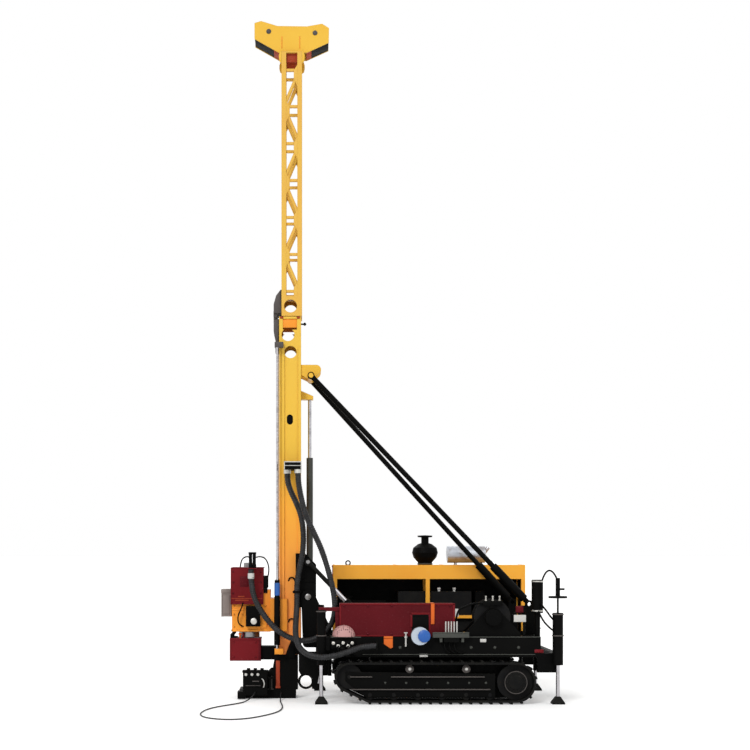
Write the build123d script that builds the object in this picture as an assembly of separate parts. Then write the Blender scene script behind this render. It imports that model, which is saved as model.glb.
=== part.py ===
from build123d import *
import math
import os

# Crawler core drilling rig. Millimetres, +Z up. +X points to the machine's rear,
# -X to the drilling mast, -Y to the near side. The origin lies on the ground
# under the middle of the tracks. Points written as pairs are (x, z).

SIDES = (("near", -1), ("far", 1))

# Fits
SLIDE_GAP = 6.0
PIN_GAP = 0.3
EYE_GAP = 1.0

# Tracks
TRACK_FRONT = -1467
TRACK_REAR = 1450
TRACK_TOP = 620
TRACK_OUTER = 1100
TRACK_WIDTH = 380
LUG_HEIGHT = 24
LUG_LENGTH = 34
LUG_COUNT = 44
BELT = 30
IDLER_RADIUS = 235
FIRST_ROLLER_X = -940
FIRST_ROLLER_RADIUS = 150
ROLLER_RADIUS = 72
ROLLER_COUNT = 6
LAST_ROLLER_X = 780
WHEEL_HALF_WIDTH = 80
WHEEL_AXLE = 28
HUB_RADIUS = 165
HUB_PROUD = 168
FRAME_CHEEK = 20
FRAME_TOP = 430
FRAME_BOTTOM = 225

# Deck
DECK_FRONT = -1510
DECK_STEP = 1520
DECK_REAR = 1790
DECK_TOP = 953
DECK_BOTTOM = 660
DECK_HALF_WIDTH = 920
DECK_FLOOR = 14
BEAM = 100
LANE_HALF_WIDTH = 500
CROSS_BOTTOM = 763
CROSS_HALF_LENGTH = 60
CROSS_X = (-1450, -480, 620)
TAIL_FRONT = 1475
TAIL_BOTTOM = 440
TAIL_TOP = 720
TAIL_CROSS_X = 1730
BELLY_HALF_LENGTH = 900
BELLY_HALF_WIDTH = 300
BELLY_BOTTOM = 300
BELLY_TOP = 700
AXLE_BEAM_X = (-600, 600)
AXLE_BEAM_HALF = 80
AXLE_BEAM_BOTTOM = 270

# Mast box and its guide rails
MAST_FRONT = -2250
MAST_REAR = -1925
MAST_HALF_WIDTH = 240
MAST_BOTTOM = 650
MAST_JOINT = 5670
MAST_WALL = 12
RAIL_PROUD = 22
RAIL_LENGTH = 40
RAIL_BOTTOM = 900
RAIL_TOP = 5200
FRONT_RAIL_X = -2210
REAR_RAIL_X = -1965
MAST_HOLES = ((-2118, 5395, 95), (-2081, 5136, 90))
MAST_SLOT = (-2090, 4135)
MAST_SLOT_SIZE = (150, 90)
MAST_WINDOW = (-2195, -1985, 5470, 5630)
HOSE_BRACKET = (-2044, 3430)
HOSE_BRACKET_HALF_LENGTH = 120
HOSE_BRACKET_HALF_HEIGHT = 50
HOSE_BRACKET_INNER = 325
HOSE_BRACKET_REACH = 640

# Tilting carriage on the chassis stands
PIVOT = (-1822, 1508)
TRUNNION = 45
CARRIAGE_BOTTOM = 1350
CARRIAGE_TOP = 2150
CARRIAGE_REAR = -1700
CARRIAGE_BACK = 54
CARRIAGE_CHEEK = 30
CARRIAGE_LIP = 34
CHEEK_CORNER = 165
STAND_INNER = 335
STAND = 35
STAND_RADIUS = 100
STAND_FOOT = -1900
HOSE_CLAMP = (-1985, 1585)
HOSE_CLAMP_RADIUS = 62
HOSE_CLAMP_LENGTH = 36

# Raise cylinders, from the deck lugs to the carriage
RAISE_LUG = (-642, 799)
RAISE_EYE = (-1822, 2023)
RAISE_Y = 335
RAISE_EYE_HALF = 28
RAISE_EYE_RADIUS = 55
RAISE_BARREL = 55
RAISE_BARREL_START = 78
RAISE_BARREL_END = 905
RAISE_ROD = 32
RAISE_ROD_LENGTH = 858
LUG_PLATE = 20

# Mast slide cylinder
SLIDE_X = -1795.5
SLIDE_PIN_Z = 1495
SLIDE_PIN = 24
SLIDE_BARREL = 48.5
SLIDE_BARREL_BOTTOM = 1562
SLIDE_BARREL_TOP = 3580
SLIDE_ROD = 26
SLIDE_ROD_BOTTOM = 2480
SLIDE_ROD_TOP = 4450
SLIDE_EYE_HALF = 34
SLIDE_ARM_TIP = -1743
SLIDE_ARM_TIP_HEIGHT = 50
SLIDE_ARM_HEIGHT = 130
SLIDE_ARM_HALF = 75

# Braces from the mast to the rear deck
BRACE_TOP = (-1777.5, 4781)
BRACE_TOP_Y = 300
BRACE_FOOT_Y = 420
BRACE_FOOT = {"near": (1430, 1406), "far": (1300, 1406)}
BRACE_TUBE = 37.5
BRACE_SLEEVE = 60
BRACE_SLEEVE_LENGTH = 770
BRACE_EYE = 52
BRACE_EYE_HALF = 28
BRACE_PIN = 30
BRACKET_Z = 4876
BRACKET_RADIUS = 72
BRACKET_TIP = -1700
BRACKET_INNER = 150
BRACKET_OUTER = 235
FORK = 20
FORK_GAP = 6
FORK_RADIUS = 55
FORK_FOOT_LENGTH = 180

# Folding lattice top and crown
LATTICE_FRONT = -2214.5
LATTICE_REAR = -1910
LATTICE_HALF_WIDTH = 250
CHORD = 70
RUNG = 40
DIAGONAL = 27
RUNGS_Z = (6040, 6588, 7137, 7686, 8234, 8783, 9322)
SLEEVE_TOP = 5966
SLEEVE_HOLE = (-2081, 5818, 95)
LATTICE_TOP = 9595
CAP_PLATE = 20
FOLD_X = -2305
KNUCKLE = 30
FOLD_SETBACK = 36
FOLD_PLATE_FRONT = -2300
FOLD_TIP = 14
FOLD_BOTTOM = 5250
FOLD_TOP = 6070
FOLD_HALF_WIDTH = 190
KNUCKLES_UPPER = (-150, 0, 150)
KNUCKLES_LOWER = (-75, 75)
KNUCKLE_HALF = 34
FOLD_PIN = 14
CROWN_PLATE_Y = 170
CROWN_PLATE = 12
CROWN_OUTLINE = (
    (-2617, 9801), (-2617, 10038), (-2520, 10068), (-2275, 9994), (-1836, 9988),
    (-1613, 10028), (-1509, 9964), (-1512, 9744), (-1842, 9595), (-2253, 9595),
)
CROWN_RIB_X = (-2223, -1948)
SHEAVES = {"front": (-2406, 9913), "rear": (-1717, 9890)}
SHEAVE_RADIUS = 128
SHEAVE_HALF = 32
SHEAVE_GROOVE = 18
SHEAVE_PIN = 26
SHEAVE_BOSS = 48

# Drill head on the mast front
DRILL_X = -2700
FEED_X = -2277
FEED_Y = 360
FEED_ROD = 15
FEED_ROD_BOTTOM = 700
FEED_ROD_TOP = 5230
FEED_END = 60
FEED_BARREL = 45
FEED_BARREL_BOTTOM = 800
FEED_BARREL_TOP = 1505
FEED_GLAND = 38
FEED_GLAND_TOP = 1756
HEAD_FRONT = -2951
HEAD_BOTTOM = 987
HEAD_TOP = 1608
HEAD_HALF_WIDTH = 215
SHOE_FRONT = -2380
SHOE_CHEEK = 32
SHOE_BOTTOM = 1000
SHOE_TOP = 1480
GUARD = (-2961, -2487, 1400, 1934)
GUARD_HALF_WIDTH = 262
GUARD_WALL = 10
GUARD_EAR_REACH = 470
GUARD_EAR_X = (-2720, -2580)
HOSE_STUBS_X = (-2668, -2612)
HOSE_STUB_RADIUS = 22
HOSE_STUB_TOP = 2156
PANEL = (-3108, -2961, 1209, 1608)
PANEL_HALF_WIDTH = 160
MOTOR_BLOCK = (-2740, -2530, 1070, 1370)
MOTOR_DEPTH = 115
MOTOR_CAP = (-2621, 1150)
MOTOR_CAP_RADIUS = 60
MOTOR_CAP_LENGTH = 50
SPINDLE_RADIUS = 85
SPINDLE_BORE = 60.5
SPINDLE_BOTTOM = 905
SPINDLE_TOP = 2010
CHUCK_RADIUS = 155
CHUCK_TOP = 975

# Rod clamp and mast foot
CLAMP = (-2975, -2527, 558, 884)
CLAMP_HALF_WIDTH = 190
CLAMP_BORE = 75.0
CLAMP_ARM = (-2527, -2250, 565, 765)
CLAMP_ARM_HALF = 110
FOOT_OUTLINE = ((-2400, 130), (-2310, 650), (-1970, 650), (-1970, 130))
FOOT_HALF_WIDTH = 230
BASE = (-2840, -2000, 0, 130)
BASE_BORE = 110
PEDAL_BOX = (-2780, -2420, 60, 410)
PEDAL_BOX_DEPTH = 170
PEDAL_KNOBS_X = (-2700, -2600, -2500)
PEDAL_KNOB = 26
PEDAL_KNOB_TOP = 455

# Jacks
JACK_OUTSET = 80
JACK_Y = DECK_HALF_WIDTH + JACK_OUTSET
JACKS = {"front": (-1633, 65, 1340), "rear": (1750, 75, 1300)}
JACK_BARREL_BOTTOM = 555
JACK_ROD = 28
JACK_ROD_TOP = 900
JACK_FOOT = 180
JACK_FOOT_RIM = 22
JACK_FOOT_HEIGHT = 105
JACK_FOOT_TOP = 70
JACK_BRACKET_HALF = 50

# Power pack on the far side of the deck
PACK_FRONT = -1435
PACK_REAR = 1518
PACK_INNER = 520
PACK_OUTER = 1080
PACK_TOP = 1969
FASCIA_BOTTOM = 1754
PACK_SHEET = 12
POST = 62
PACK_POSTS_X = (-1404, 20, 1487)
PACK_SHELF = 1150
PACK_RAIL = 46
ENGINE_X = (-430, 700)
ENGINE_SETBACK = 80
ENGINE_TOP = 1560
RADIATOR = (760, 900)
TANK_X = (-1330, -620)
TANK_SETBACK = 70
TANK_TOP = 1420
ROOF_Y = 800
CLEANER_X = 0
CLEANER = (
    (0, 0), (105, 0), (112, 40), (178, 115), (200, 190), (182, 265), (110, 322), (58, 340),
    (58, 425), (114, 432), (114, 455), (0, 462),
)
MUFFLER = (343, 930)
MUFFLER_Z = 2130
MUFFLER_RADIUS = 130
MUFFLER_LEG = 24
TAILPIPE = 30
TAILPIPE_END = (985, 2240)

# Control side
SIDE_GAP = 20
CABINET_X = (-1364, 285)
CABINET_SETBACK = 40
CABINET_TOP = 1426
FILTER_X = -220
FILTER_Z = 970
FILTER_RADIUS = 128
FILTER_LENGTH = 130
VALVE = (120, 340, 880, 990)
VALVE_DEPTH = 100
LEVERS_X = (150, 190, 230, 270, 310)
LEVER_RADIUS = 8
LEVER_TOP = 1175
WINCH = (834, 1232)
WINCH_SETBACK = 50
WINCH_Y = (WINCH_SETBACK - DECK_HALF_WIDTH, -LANE_HALF_WIDTH - SIDE_GAP)
WINCH_PLATE = 20
WINCH_FOOT_HALF = 380
WINCH_CORE = 140
WINCH_FLANGE = 262
WINCH_FLANGE_WIDTH = 16
WINCH_SHAFT = 42
WINCH_MOTOR = 115
WINCH_MOTOR_LENGTH = 120
STACK_X = 1497
STACK_SETBACK = 170
STACK_RADIUS = 83
STACK_BOTTOM = 1290
STACK_TOP = 1770
STACK_POST = 40
HANDWHEEL_Z = 1512
HANDWHEEL_RADIUS = 132
HANDWHEEL_DEPTH = 28
VALVE_STEM = 14
VALVE_BODY = 32
VALVE_TOP = 1800
VALVE_LEVER_Z = 1640
VALVE_LEVER_REACH = 95

# Hoses and the ground cable. Routes are points (x, y, z).
HOSE_RADIUS = 43
HOSE_Y = -450
CABLE_RADIUS = 9
ARC_SHARE = 0.45
HOSE_CHASSIS = (
    (-850, -1100, 835), (-1030, -1100, 835), (-1240, -1115, 755), (-1440, -1145, 692), (-1640, -1170, 672),
    (-1825, -1125, 705), (-1950, -1010, 800), (-2000, -850, 940), (-2003, -680, 1085), (-1995, -540, 1225),
    (-1985, -465, 1370), (-1985, -450, 1480), (-1985, -450, 1567),
)
HOSE_CARRIAGE = (
    (-1985, -450, 1603), (-1985, -450, 1740), (-1945, -454, 1930), (-1900, -462, 2150), (-1884, -470, 2410),
    (-1915, -476, 2690), (-1995, -480, 2900), (-2085, -480, 3080), (-2125, -480, 3230), (-2125, -480, 3380),
)
HOSE_HEAD = (
    (-1970, -590, 3380), (-1970, -590, 3240), (-1932, -592, 3000), (-1857, -594, 2700), (-1735, -597, 2450),
    (-1615, -599, 2190), (-1495, -600, 1800), (-1422, -600, 1440), (-1450, -598, 1150), (-1610, -592, 950),
    (-1840, -582, 862), (-2090, -562, 910), (-2290, -532, 1035), (-2480, -494, 1250), (-2620, -455, 1500),
    (-2660, -415, 1760), (-2660, -415, 1924),
)
GROUND_CABLE = (
    (-2600, -426, 110), (-2600, -500, 110), (-2650, -620, 48), (-2720, -790, 11), (-2822, -1050, 10),
    (-2970, -1270, 10), (-3110, -1510, 10), (-3200, -1750, 10), (-3250, -2010, 10), (-3270, -2260, 10),
    (-3255, -2480, 10), (-3190, -2720, 10), (-3050, -2900, 10), (-2861, -2990, 10), (-2690, -2930, 10),
    (-2560, -2800, 10), (-2450, -2620, 10), (-2360, -2440, 10), (-2270, -2220, 10), (-2215, -2000, 10),
    (-2185, -1740, 10), (-2180, -1460, 10), (-2195, -1150, 10), (-2215, -880, 10), (-2225, -700, 11),
    (-2225, -560, 30), (-2222, -430, 80), (-2222, -330, 95), (-2222, -240, 95),
)


def block(x0, x1, y0, y1, z0, z1):
    """Box between two corners."""
    centre = Pos((x0 + x1) / 2, (y0 + y1) / 2, (z0 + z1) / 2)
    return centre * Box(x1 - x0, y1 - y0, z1 - z0)


def wide_block(span, half_width):
    """Box over a (x0, x1, z0, z1) span, even about the middle plane."""
    x0, x1, z0, z1 = span
    return block(x0, x1, -half_width, half_width, z0, z1)


def bar(start, end, radius):
    """Round bar between two points."""
    axis = Vector(*end) - Vector(*start)
    seat = Plane(origin=start, z_dir=axis)
    return seat * Cylinder(radius, axis.length, align=(Align.CENTER, Align.CENTER, Align.MIN))


def cross_bar(point, y0, y1, radius):
    """Round bar across the machine at a (x, z) point."""
    x, z = point
    return bar((x, min(y0, y1), z), (x, max(y0, y1), z), radius)


def post(x, y, z0, z1, radius):
    """Upright round bar."""
    return bar((x, y, z0), (x, y, z1), radius)


def plate(outline, y0, y1):
    """Plate cut from an (x, z) outline."""
    low = min(y0, y1)
    edge = Polyline(*[(x, low, z) for x, z in outline], close=True)
    return extrude(make_face(edge), abs(y1 - y0), dir=(0, 1, 0))


def upright(face, y0, y1):
    """Plate whose face is drawn in x and z."""
    across = Plane(origin=(0, min(y0, y1), 0), x_dir=(1, 0, 0), z_dir=(0, -1, 0))
    return extrude(across * face, abs(y1 - y0), dir=(0, 1, 0))


def hull_face(circles):
    """Outline in x and z that wraps round (x, z, radius) circles."""
    rims = Sketch() + [Pos(x, z) * Circle(radius) for x, z, radius in circles]
    return make_hull(rims.edges())


def hull_plate(circles, y0, y1):
    """Plate whose outline wraps round (x, z, radius) circles."""
    return upright(hull_face(circles), y0, y1)


def joined(pieces):
    """One solid from touching pieces."""
    return pieces[0] + pieces[1:]


def beyond(side, inner, outer):
    """The y range on one side, between two distances from the middle plane."""
    return (side * inner, side * outer) if side > 0 else (side * outer, side * inner)


def track_circles(depth):
    """Front idler, first roller and sprocket circles, the given depth inside the lug tips."""
    sprocket = TRACK_TOP / 2
    return (
        (TRACK_FRONT + IDLER_RADIUS, TRACK_TOP - IDLER_RADIUS, IDLER_RADIUS - depth),
        (FIRST_ROLLER_X, FIRST_ROLLER_RADIUS, FIRST_ROLLER_RADIUS - depth),
        (TRACK_REAR - sprocket, sprocket, sprocket - depth),
    )


def track_face(depth):
    """The loop's filled outline in x and z, the given depth inside the lug tips."""
    return hull_face(track_circles(depth))


def track_loop(side):
    """Belt of shoes with a grouser bar standing on each."""
    belt = track_face(LUG_HEIGHT)
    rim = belt.faces()[0].outer_wire()
    lugs = []
    for step in range(LUG_COUNT):
        share = step / LUG_COUNT
        foot = rim.position_at(share)
        run = rim.tangent_at(share)
        turn = math.degrees(math.atan2(run.Y, run.X))
        lugs.append(Pos(foot.X, foot.Y) * Rot(0, 0, turn) * Rectangle(LUG_LENGTH, 2 * LUG_HEIGHT))
    above_ground = Pos(0, TRACK_TOP) * Rectangle(2 * TRACK_REAR - 2 * TRACK_FRONT, 2 * TRACK_TOP)
    outline = (belt + lugs) & above_ground
    outline = outline - track_face(LUG_HEIGHT + BELT)
    y0, y1 = beyond(side, TRACK_OUTER - TRACK_WIDTH, TRACK_OUTER)
    return upright(outline, y0, y1)


def roller_places():
    """The rollers that run on the belt's lower stretch."""
    step = (LAST_ROLLER_X - FIRST_ROLLER_X) / (ROLLER_COUNT - 1)
    height = LUG_HEIGHT + BELT + PIN_GAP + ROLLER_RADIUS
    return [(FIRST_ROLLER_X + index * step, height) for index in range(ROLLER_COUNT)]


def track_wheels(side):
    """Idler, rollers and sprocket of one track, each on its own axle."""
    middle = side * (TRACK_OUTER - TRACK_WIDTH / 2)
    axle_half = WHEEL_HALF_WIDTH + EYE_GAP + FRAME_CHEEK
    depth = LUG_HEIGHT + BELT + PIN_GAP
    idler, _, sprocket = track_circles(depth)
    wheels = []
    for x, z, radius in [idler] + [(x, z, ROLLER_RADIUS) for x, z in roller_places()]:
        rim = cross_bar((x, z), middle - WHEEL_HALF_WIDTH, middle + WHEEL_HALF_WIDTH, radius)
        axle = cross_bar((x, z), middle - axle_half, middle + axle_half, WHEEL_AXLE)
        wheels.append(rim + axle)
    x, z, radius = sprocket
    rim = cross_bar((x, z), middle - WHEEL_HALF_WIDTH, middle + WHEEL_HALF_WIDTH, radius)
    hub = cross_bar((x, z), middle, middle + side * HUB_PROUD, HUB_RADIUS)
    axle = cross_bar((x, z), middle, middle - side * axle_half, WHEEL_AXLE)
    wheels.append(rim + hub + axle)
    return Compound(children=[solid for wheel in wheels for solid in wheel.solids()])


def track_frame(side):
    """Side frame between the wheels: a shaped outer cheek and a shield that fills the loop inside."""
    middle = side * (TRACK_OUTER - TRACK_WIDTH / 2)
    inner_face = WHEEL_HALF_WIDTH + EYE_GAP
    idler, _, sprocket = track_circles(0)
    rollers = roller_places()
    front = idler[0] + IDLER_RADIUS
    rear = LAST_ROLLER_X + ROLLER_RADIUS
    low = rollers[0][1] - WHEEL_AXLE
    outline = (
        (idler[0] - 2 * WHEEL_AXLE, idler[1] - 2 * WHEEL_AXLE),
        (idler[0] - 2 * WHEEL_AXLE, FRAME_TOP + WHEEL_AXLE),
        (rear, FRAME_TOP), (rear, low),
        (FIRST_ROLLER_X - ROLLER_RADIUS, low),
    )
    outer = middle + side * inner_face
    inner = middle - side * inner_face
    frame = joined([
        block(front, LAST_ROLLER_X, *sorted((inner, outer)), FRAME_BOTTOM, FRAME_TOP),
        plate(outline, outer, outer + side * FRAME_CHEEK),
        upright(track_face(LUG_HEIGHT + BELT + 2 * SLIDE_GAP), inner, inner - side * FRAME_CHEEK),
    ])
    for x, z in [idler[:2], sprocket[:2]] + rollers:
        frame -= cross_bar((x, z), middle - TRACK_WIDTH, middle + TRACK_WIDTH, WHEEL_AXLE + PIN_GAP)
    return frame


def chassis_frame():
    """Deck ladder, belly, axle beams, mast stands, cylinder lugs and brace forks."""
    pieces = [wide_block((-BELLY_HALF_LENGTH, BELLY_HALF_LENGTH, BELLY_BOTTOM, BELLY_TOP), BELLY_HALF_WIDTH)]
    for x in CROSS_X:
        span = (x - CROSS_HALF_LENGTH, x + CROSS_HALF_LENGTH, CROSS_BOTTOM, DECK_TOP)
        pieces.append(wide_block(span, DECK_HALF_WIDTH))
    tail = (TAIL_CROSS_X - CROSS_HALF_LENGTH, TAIL_CROSS_X + CROSS_HALF_LENGTH, TAIL_BOTTOM, TAIL_TOP)
    pieces.append(wide_block(tail, DECK_HALF_WIDTH))
    for x in CROSS_X[1:]:
        span = (x - CROSS_HALF_LENGTH, x + CROSS_HALF_LENGTH, BELLY_BOTTOM, CROSS_BOTTOM)
        pieces.append(wide_block(span, BELLY_HALF_WIDTH))
    frame_inner = TRACK_OUTER - TRACK_WIDTH / 2 - WHEEL_HALF_WIDTH - EYE_GAP - FRAME_CHEEK
    for x in AXLE_BEAM_X:
        span = (x - AXLE_BEAM_HALF, x + AXLE_BEAM_HALF, AXLE_BEAM_BOTTOM, FRAME_TOP)
        pieces.append(wide_block(span, frame_inner))
    floor_bottom = DECK_TOP - DECK_FLOOR
    for name, side in SIDES:
        for inner in (LANE_HALF_WIDTH, DECK_HALF_WIDTH - BEAM):
            y0, y1 = beyond(side, inner, inner + BEAM)
            pieces.append(block(DECK_FRONT, DECK_STEP, y0, y1, DECK_BOTTOM, DECK_TOP))
            pieces.append(block(TAIL_FRONT, DECK_REAR, y0, y1, TAIL_BOTTOM, TAIL_TOP))
        y0, y1 = beyond(side, LANE_HALF_WIDTH, PACK_OUTER if side > 0 else DECK_HALF_WIDTH)
        pieces.append(block(PACK_FRONT, PACK_REAR, y0, y1, floor_bottom, DECK_TOP))
        stand_outer = STAND_INNER + STAND
        stand = hull_plate(
            (
                (*PIVOT, STAND_RADIUS),
                (STAND_FOOT + CROSS_HALF_LENGTH, CROSS_BOTTOM + CROSS_HALF_LENGTH, CROSS_HALF_LENGTH),
                (CROSS_X[0], CROSS_BOTTOM + CROSS_HALF_LENGTH, CROSS_HALF_LENGTH),
            ),
            side * STAND_INNER, side * stand_outer,
        )
        pieces.append(stand - cross_bar(PIVOT, side * STAND_INNER, side * stand_outer, TRUNNION + PIN_GAP))
        for way in (-1, 1):
            near_face = side * RAISE_Y + way * (RAISE_EYE_HALF + EYE_GAP)
            lug = hull_plate(
                (
                    (*RAISE_LUG, RAISE_EYE_RADIUS),
                    (CROSS_X[1], RAISE_LUG[1], RAISE_LUG[1] - CROSS_BOTTOM),
                ),
                near_face, near_face + way * LUG_PLATE,
            )
            pieces.append(lug)
        pieces.append(brace_fork(name, side))
    x, y, z = HOSE_CHASSIS[0]
    half = HOSE_RADIUS + DECK_FLOOR
    pieces.append(block(x, x + DECK_FLOOR, y - half, -DECK_HALF_WIDTH, z - half, z + half))
    frame = joined(pieces)
    for _, side in SIDES:
        half = RAISE_EYE_HALF + EYE_GAP + LUG_PLATE
        frame -= cross_bar(RAISE_LUG, side * RAISE_Y - half, side * RAISE_Y + half, RAISE_ROD + PIN_GAP)
    return frame


def brace_fork(name, side):
    """Fork on the lane's edge that takes one brace's foot."""
    x, z = BRACE_FOOT[name]
    half = FORK_FOOT_LENGTH / 2
    reach = BRACE_EYE_HALF + FORK_GAP
    seat_inner = BRACE_FOOT_Y - reach - FORK
    y0, y1 = beyond(side, seat_inner, LANE_HALF_WIDTH)
    pieces = [block(x - half, x + half, y0, y1, CROSS_BOTTOM, DECK_TOP)]
    for way in (-1, 1):
        near_face = side * BRACE_FOOT_Y + way * reach
        pieces.append(hull_plate(
            (
                (x, z, FORK_RADIUS),
                (x - half + FORK_RADIUS, DECK_TOP - FORK_RADIUS, FORK_RADIUS),
                (x + half - FORK_RADIUS, DECK_TOP - FORK_RADIUS, FORK_RADIUS),
            ),
            near_face, near_face + way * FORK,
        ))
    fork = joined(pieces)
    span = reach + FORK
    return fork - cross_bar((x, z), side * BRACE_FOOT_Y - span, side * BRACE_FOOT_Y + span, BRACE_PIN)


def mast_box():
    """Hollow box mast with guide rails, lightening holes, a slot and the hose bracket."""
    span = (MAST_FRONT, MAST_REAR, MAST_BOTTOM, MAST_JOINT - SLIDE_GAP)
    inside = (
        MAST_FRONT + MAST_WALL, MAST_REAR - MAST_WALL,
        MAST_BOTTOM + MAST_WALL, MAST_JOINT - SLIDE_GAP - MAST_WALL,
    )
    box = wide_block(span, MAST_HALF_WIDTH) - wide_block(inside, MAST_HALF_WIDTH - MAST_WALL)
    through = MAST_HALF_WIDTH + RAIL_PROUD
    for x, z, radius in MAST_HOLES:
        box -= cross_bar((x, z), -through, through, radius)
    x, z = MAST_SLOT
    height, width = MAST_SLOT_SIZE
    for way in (-1, 1):
        box -= cross_bar((x, z + way * (height - width) / 2), -through, through, width / 2)
    straight = (height - width) / 2
    box -= wide_block((x - width / 2, x + width / 2, z - straight, z + straight), through)
    box -= wide_block(MAST_WINDOW, through)
    pieces = [box]
    for _, side in SIDES:
        y0, y1 = beyond(side, MAST_HALF_WIDTH, MAST_HALF_WIDTH + RAIL_PROUD)
        for rail in (FRONT_RAIL_X, REAR_RAIL_X):
            pieces.append(block(rail, rail + RAIL_LENGTH, y0, y1, RAIL_BOTTOM, RAIL_TOP))
    x, z = HOSE_BRACKET
    height = HOSE_BRACKET_HALF_HEIGHT
    head = (HOSE_BRACKET_HALF_LENGTH, -HOSE_BRACKET_REACH, -HOSE_BRACKET_INNER)
    stem = (height, -HOSE_BRACKET_INNER, -MAST_HALF_WIDTH)
    for half, y0, y1 in (head, stem):
        pieces.append(block(x - half, x + half, y0, y1, z - height, z + height))
    return joined(pieces)


def mast_foot():
    """Foot under the mast with the base plate on the ground and the arm that carries the rod clamp."""
    foot = plate(FOOT_OUTLINE, -FOOT_HALF_WIDTH, FOOT_HALF_WIDTH)
    foot = joined([foot, wide_block(BASE, MAST_HALF_WIDTH), wide_block(CLAMP_ARM, CLAMP_ARM_HALF)])
    return foot - post(DRILL_X, 0, BASE[2], BASE[3], BASE_BORE)


def rod_clamp():
    """Guarded rod clamp on the foot's arm, open for the drill rods."""
    return wide_block(CLAMP, CLAMP_HALF_WIDTH) - post(DRILL_X, 0, CLAMP[2], CLAMP[3], CLAMP_BORE)


def pedal_box():
    """Foot control box on the base's near edge with three knobs."""
    x0, x1, z0, z1 = PEDAL_BOX
    box = block(x0, x1, -MAST_HALF_WIDTH - PEDAL_BOX_DEPTH, -MAST_HALF_WIDTH, z0, z1)
    y = -MAST_HALF_WIDTH - PEDAL_BOX_DEPTH / 2
    knobs = [post(x, y, z1, PEDAL_KNOB_TOP, PEDAL_KNOB) for x in PEDAL_KNOBS_X]
    gland_x, gland_y, gland_z = GROUND_CABLE[0]
    gland = cross_bar((gland_x, gland_z), gland_y, -MAST_HALF_WIDTH - PEDAL_BOX_DEPTH, 2 * CABLE_RADIUS)
    return joined([box, gland] + knobs)


def feed_rods():
    """Fixed feed rods beside the mast, held at their ends by brackets on the mast's cheeks."""
    rods = []
    for _, side in SIDES:
        y = side * FEED_Y
        pieces = [post(FEED_X, y, FEED_ROD_BOTTOM, FEED_ROD_TOP, FEED_ROD)]
        for z in (FEED_ROD_BOTTOM, FEED_ROD_TOP):
            y0, y1 = beyond(side, MAST_HALF_WIDTH, FEED_Y + 2 * FEED_ROD)
            half = FEED_END / 2
            pieces.append(block(FEED_X - half, MAST_FRONT + FEED_END, y0, y1, z - half, z + half))
        rods += joined(pieces).solids()
    return Compound(children=rods)


def slide_rod():
    """Chrome rod of the mast slide cylinder, under its arm on the mast."""
    return post(SLIDE_X, 0, SLIDE_ROD_BOTTOM, SLIDE_ROD_TOP, SLIDE_ROD)


def brace_bracket():
    """Lugs on the mast's back with the pin of both braces, and the arm over the slide rod."""
    inner = BRACE_TOP_Y - BRACE_EYE_HALF - SLIDE_GAP
    outer = BRACE_TOP_Y + BRACE_EYE_HALF + EYE_GAP
    in_mast = (
        MAST_REAR - 2 * BRACKET_RADIUS, MAST_REAR,
        BRACKET_Z - 2 * BRACKET_RADIUS, BRACKET_Z + 2 * BRACKET_RADIUS,
    )
    pieces = [cross_bar(BRACE_TOP, -inner, inner, BRACE_EYE), cross_bar(BRACE_TOP, -outer, outer, BRACE_PIN)]
    for _, side in SIDES:
        lug = hull_plate(
            (
                (MAST_REAR, BRACKET_Z, BRACKET_RADIUS), (BRACKET_TIP, BRACKET_Z, BRACKET_RADIUS),
                (*BRACE_TOP, BRACE_EYE),
            ),
            side * BRACKET_INNER, side * BRACKET_OUTER,
        )
        pieces.append(lug - wide_block(in_mast, MAST_HALF_WIDTH))
        pieces.append(cross_bar(BRACE_TOP, side * outer, side * (outer + FORK_GAP), BRACE_PIN + FORK_GAP))
    arm = plate(
        (
            (MAST_REAR, SLIDE_ROD_TOP), (SLIDE_ARM_TIP, SLIDE_ROD_TOP),
            (SLIDE_ARM_TIP, SLIDE_ROD_TOP + SLIDE_ARM_TIP_HEIGHT),
            (MAST_REAR, SLIDE_ROD_TOP + SLIDE_ARM_HEIGHT),
        ),
        -SLIDE_ARM_HALF, SLIDE_ARM_HALF,
    )
    return Compound(children=joined(pieces).solids() + arm.solids())


def brace(name, side):
    """Telescopic brace from the mast bracket down to its deck fork."""
    top = Vector(BRACE_TOP[0], side * BRACE_TOP_Y, BRACE_TOP[1])
    foot = Vector(BRACE_FOOT[name][0], side * BRACE_FOOT_Y, BRACE_FOOT[name][1])
    along = (foot - top).normalized()
    shoulder = top + along * 2 * BRACE_EYE
    sleeve_start = foot - along * BRACE_SLEEVE_LENGTH
    sleeve_end = foot - along * 2 * BRACE_EYE
    pieces = [bar(shoulder, sleeve_start, BRACE_TUBE), bar(sleeve_start, sleeve_end, BRACE_SLEEVE)]
    for centre, point, end in ((top, BRACE_TOP, shoulder), (foot, BRACE_FOOT[name], sleeve_end)):
        y0 = centre.Y - BRACE_EYE_HALF
        y1 = centre.Y + BRACE_EYE_HALF
        reach = BRACE_SLEEVE_LENGTH
        slice_x = (centre.X - reach, centre.X + reach)
        flat = block(*slice_x, y0, y1, centre.Z - reach, centre.Z + reach)
        pieces.append(cross_bar(point, y0, y1, BRACE_EYE))
        pieces.append(bar(centre, end, BRACE_TUBE) & flat)
    body = joined(pieces)
    span = 2 * BRACE_EYE_HALF
    body -= cross_bar(BRACE_TOP, top.Y - span, top.Y + span, BRACE_PIN + PIN_GAP)
    return body - cross_bar(BRACE_FOOT[name], foot.Y - span, foot.Y + span, BRACE_PIN)


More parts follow.
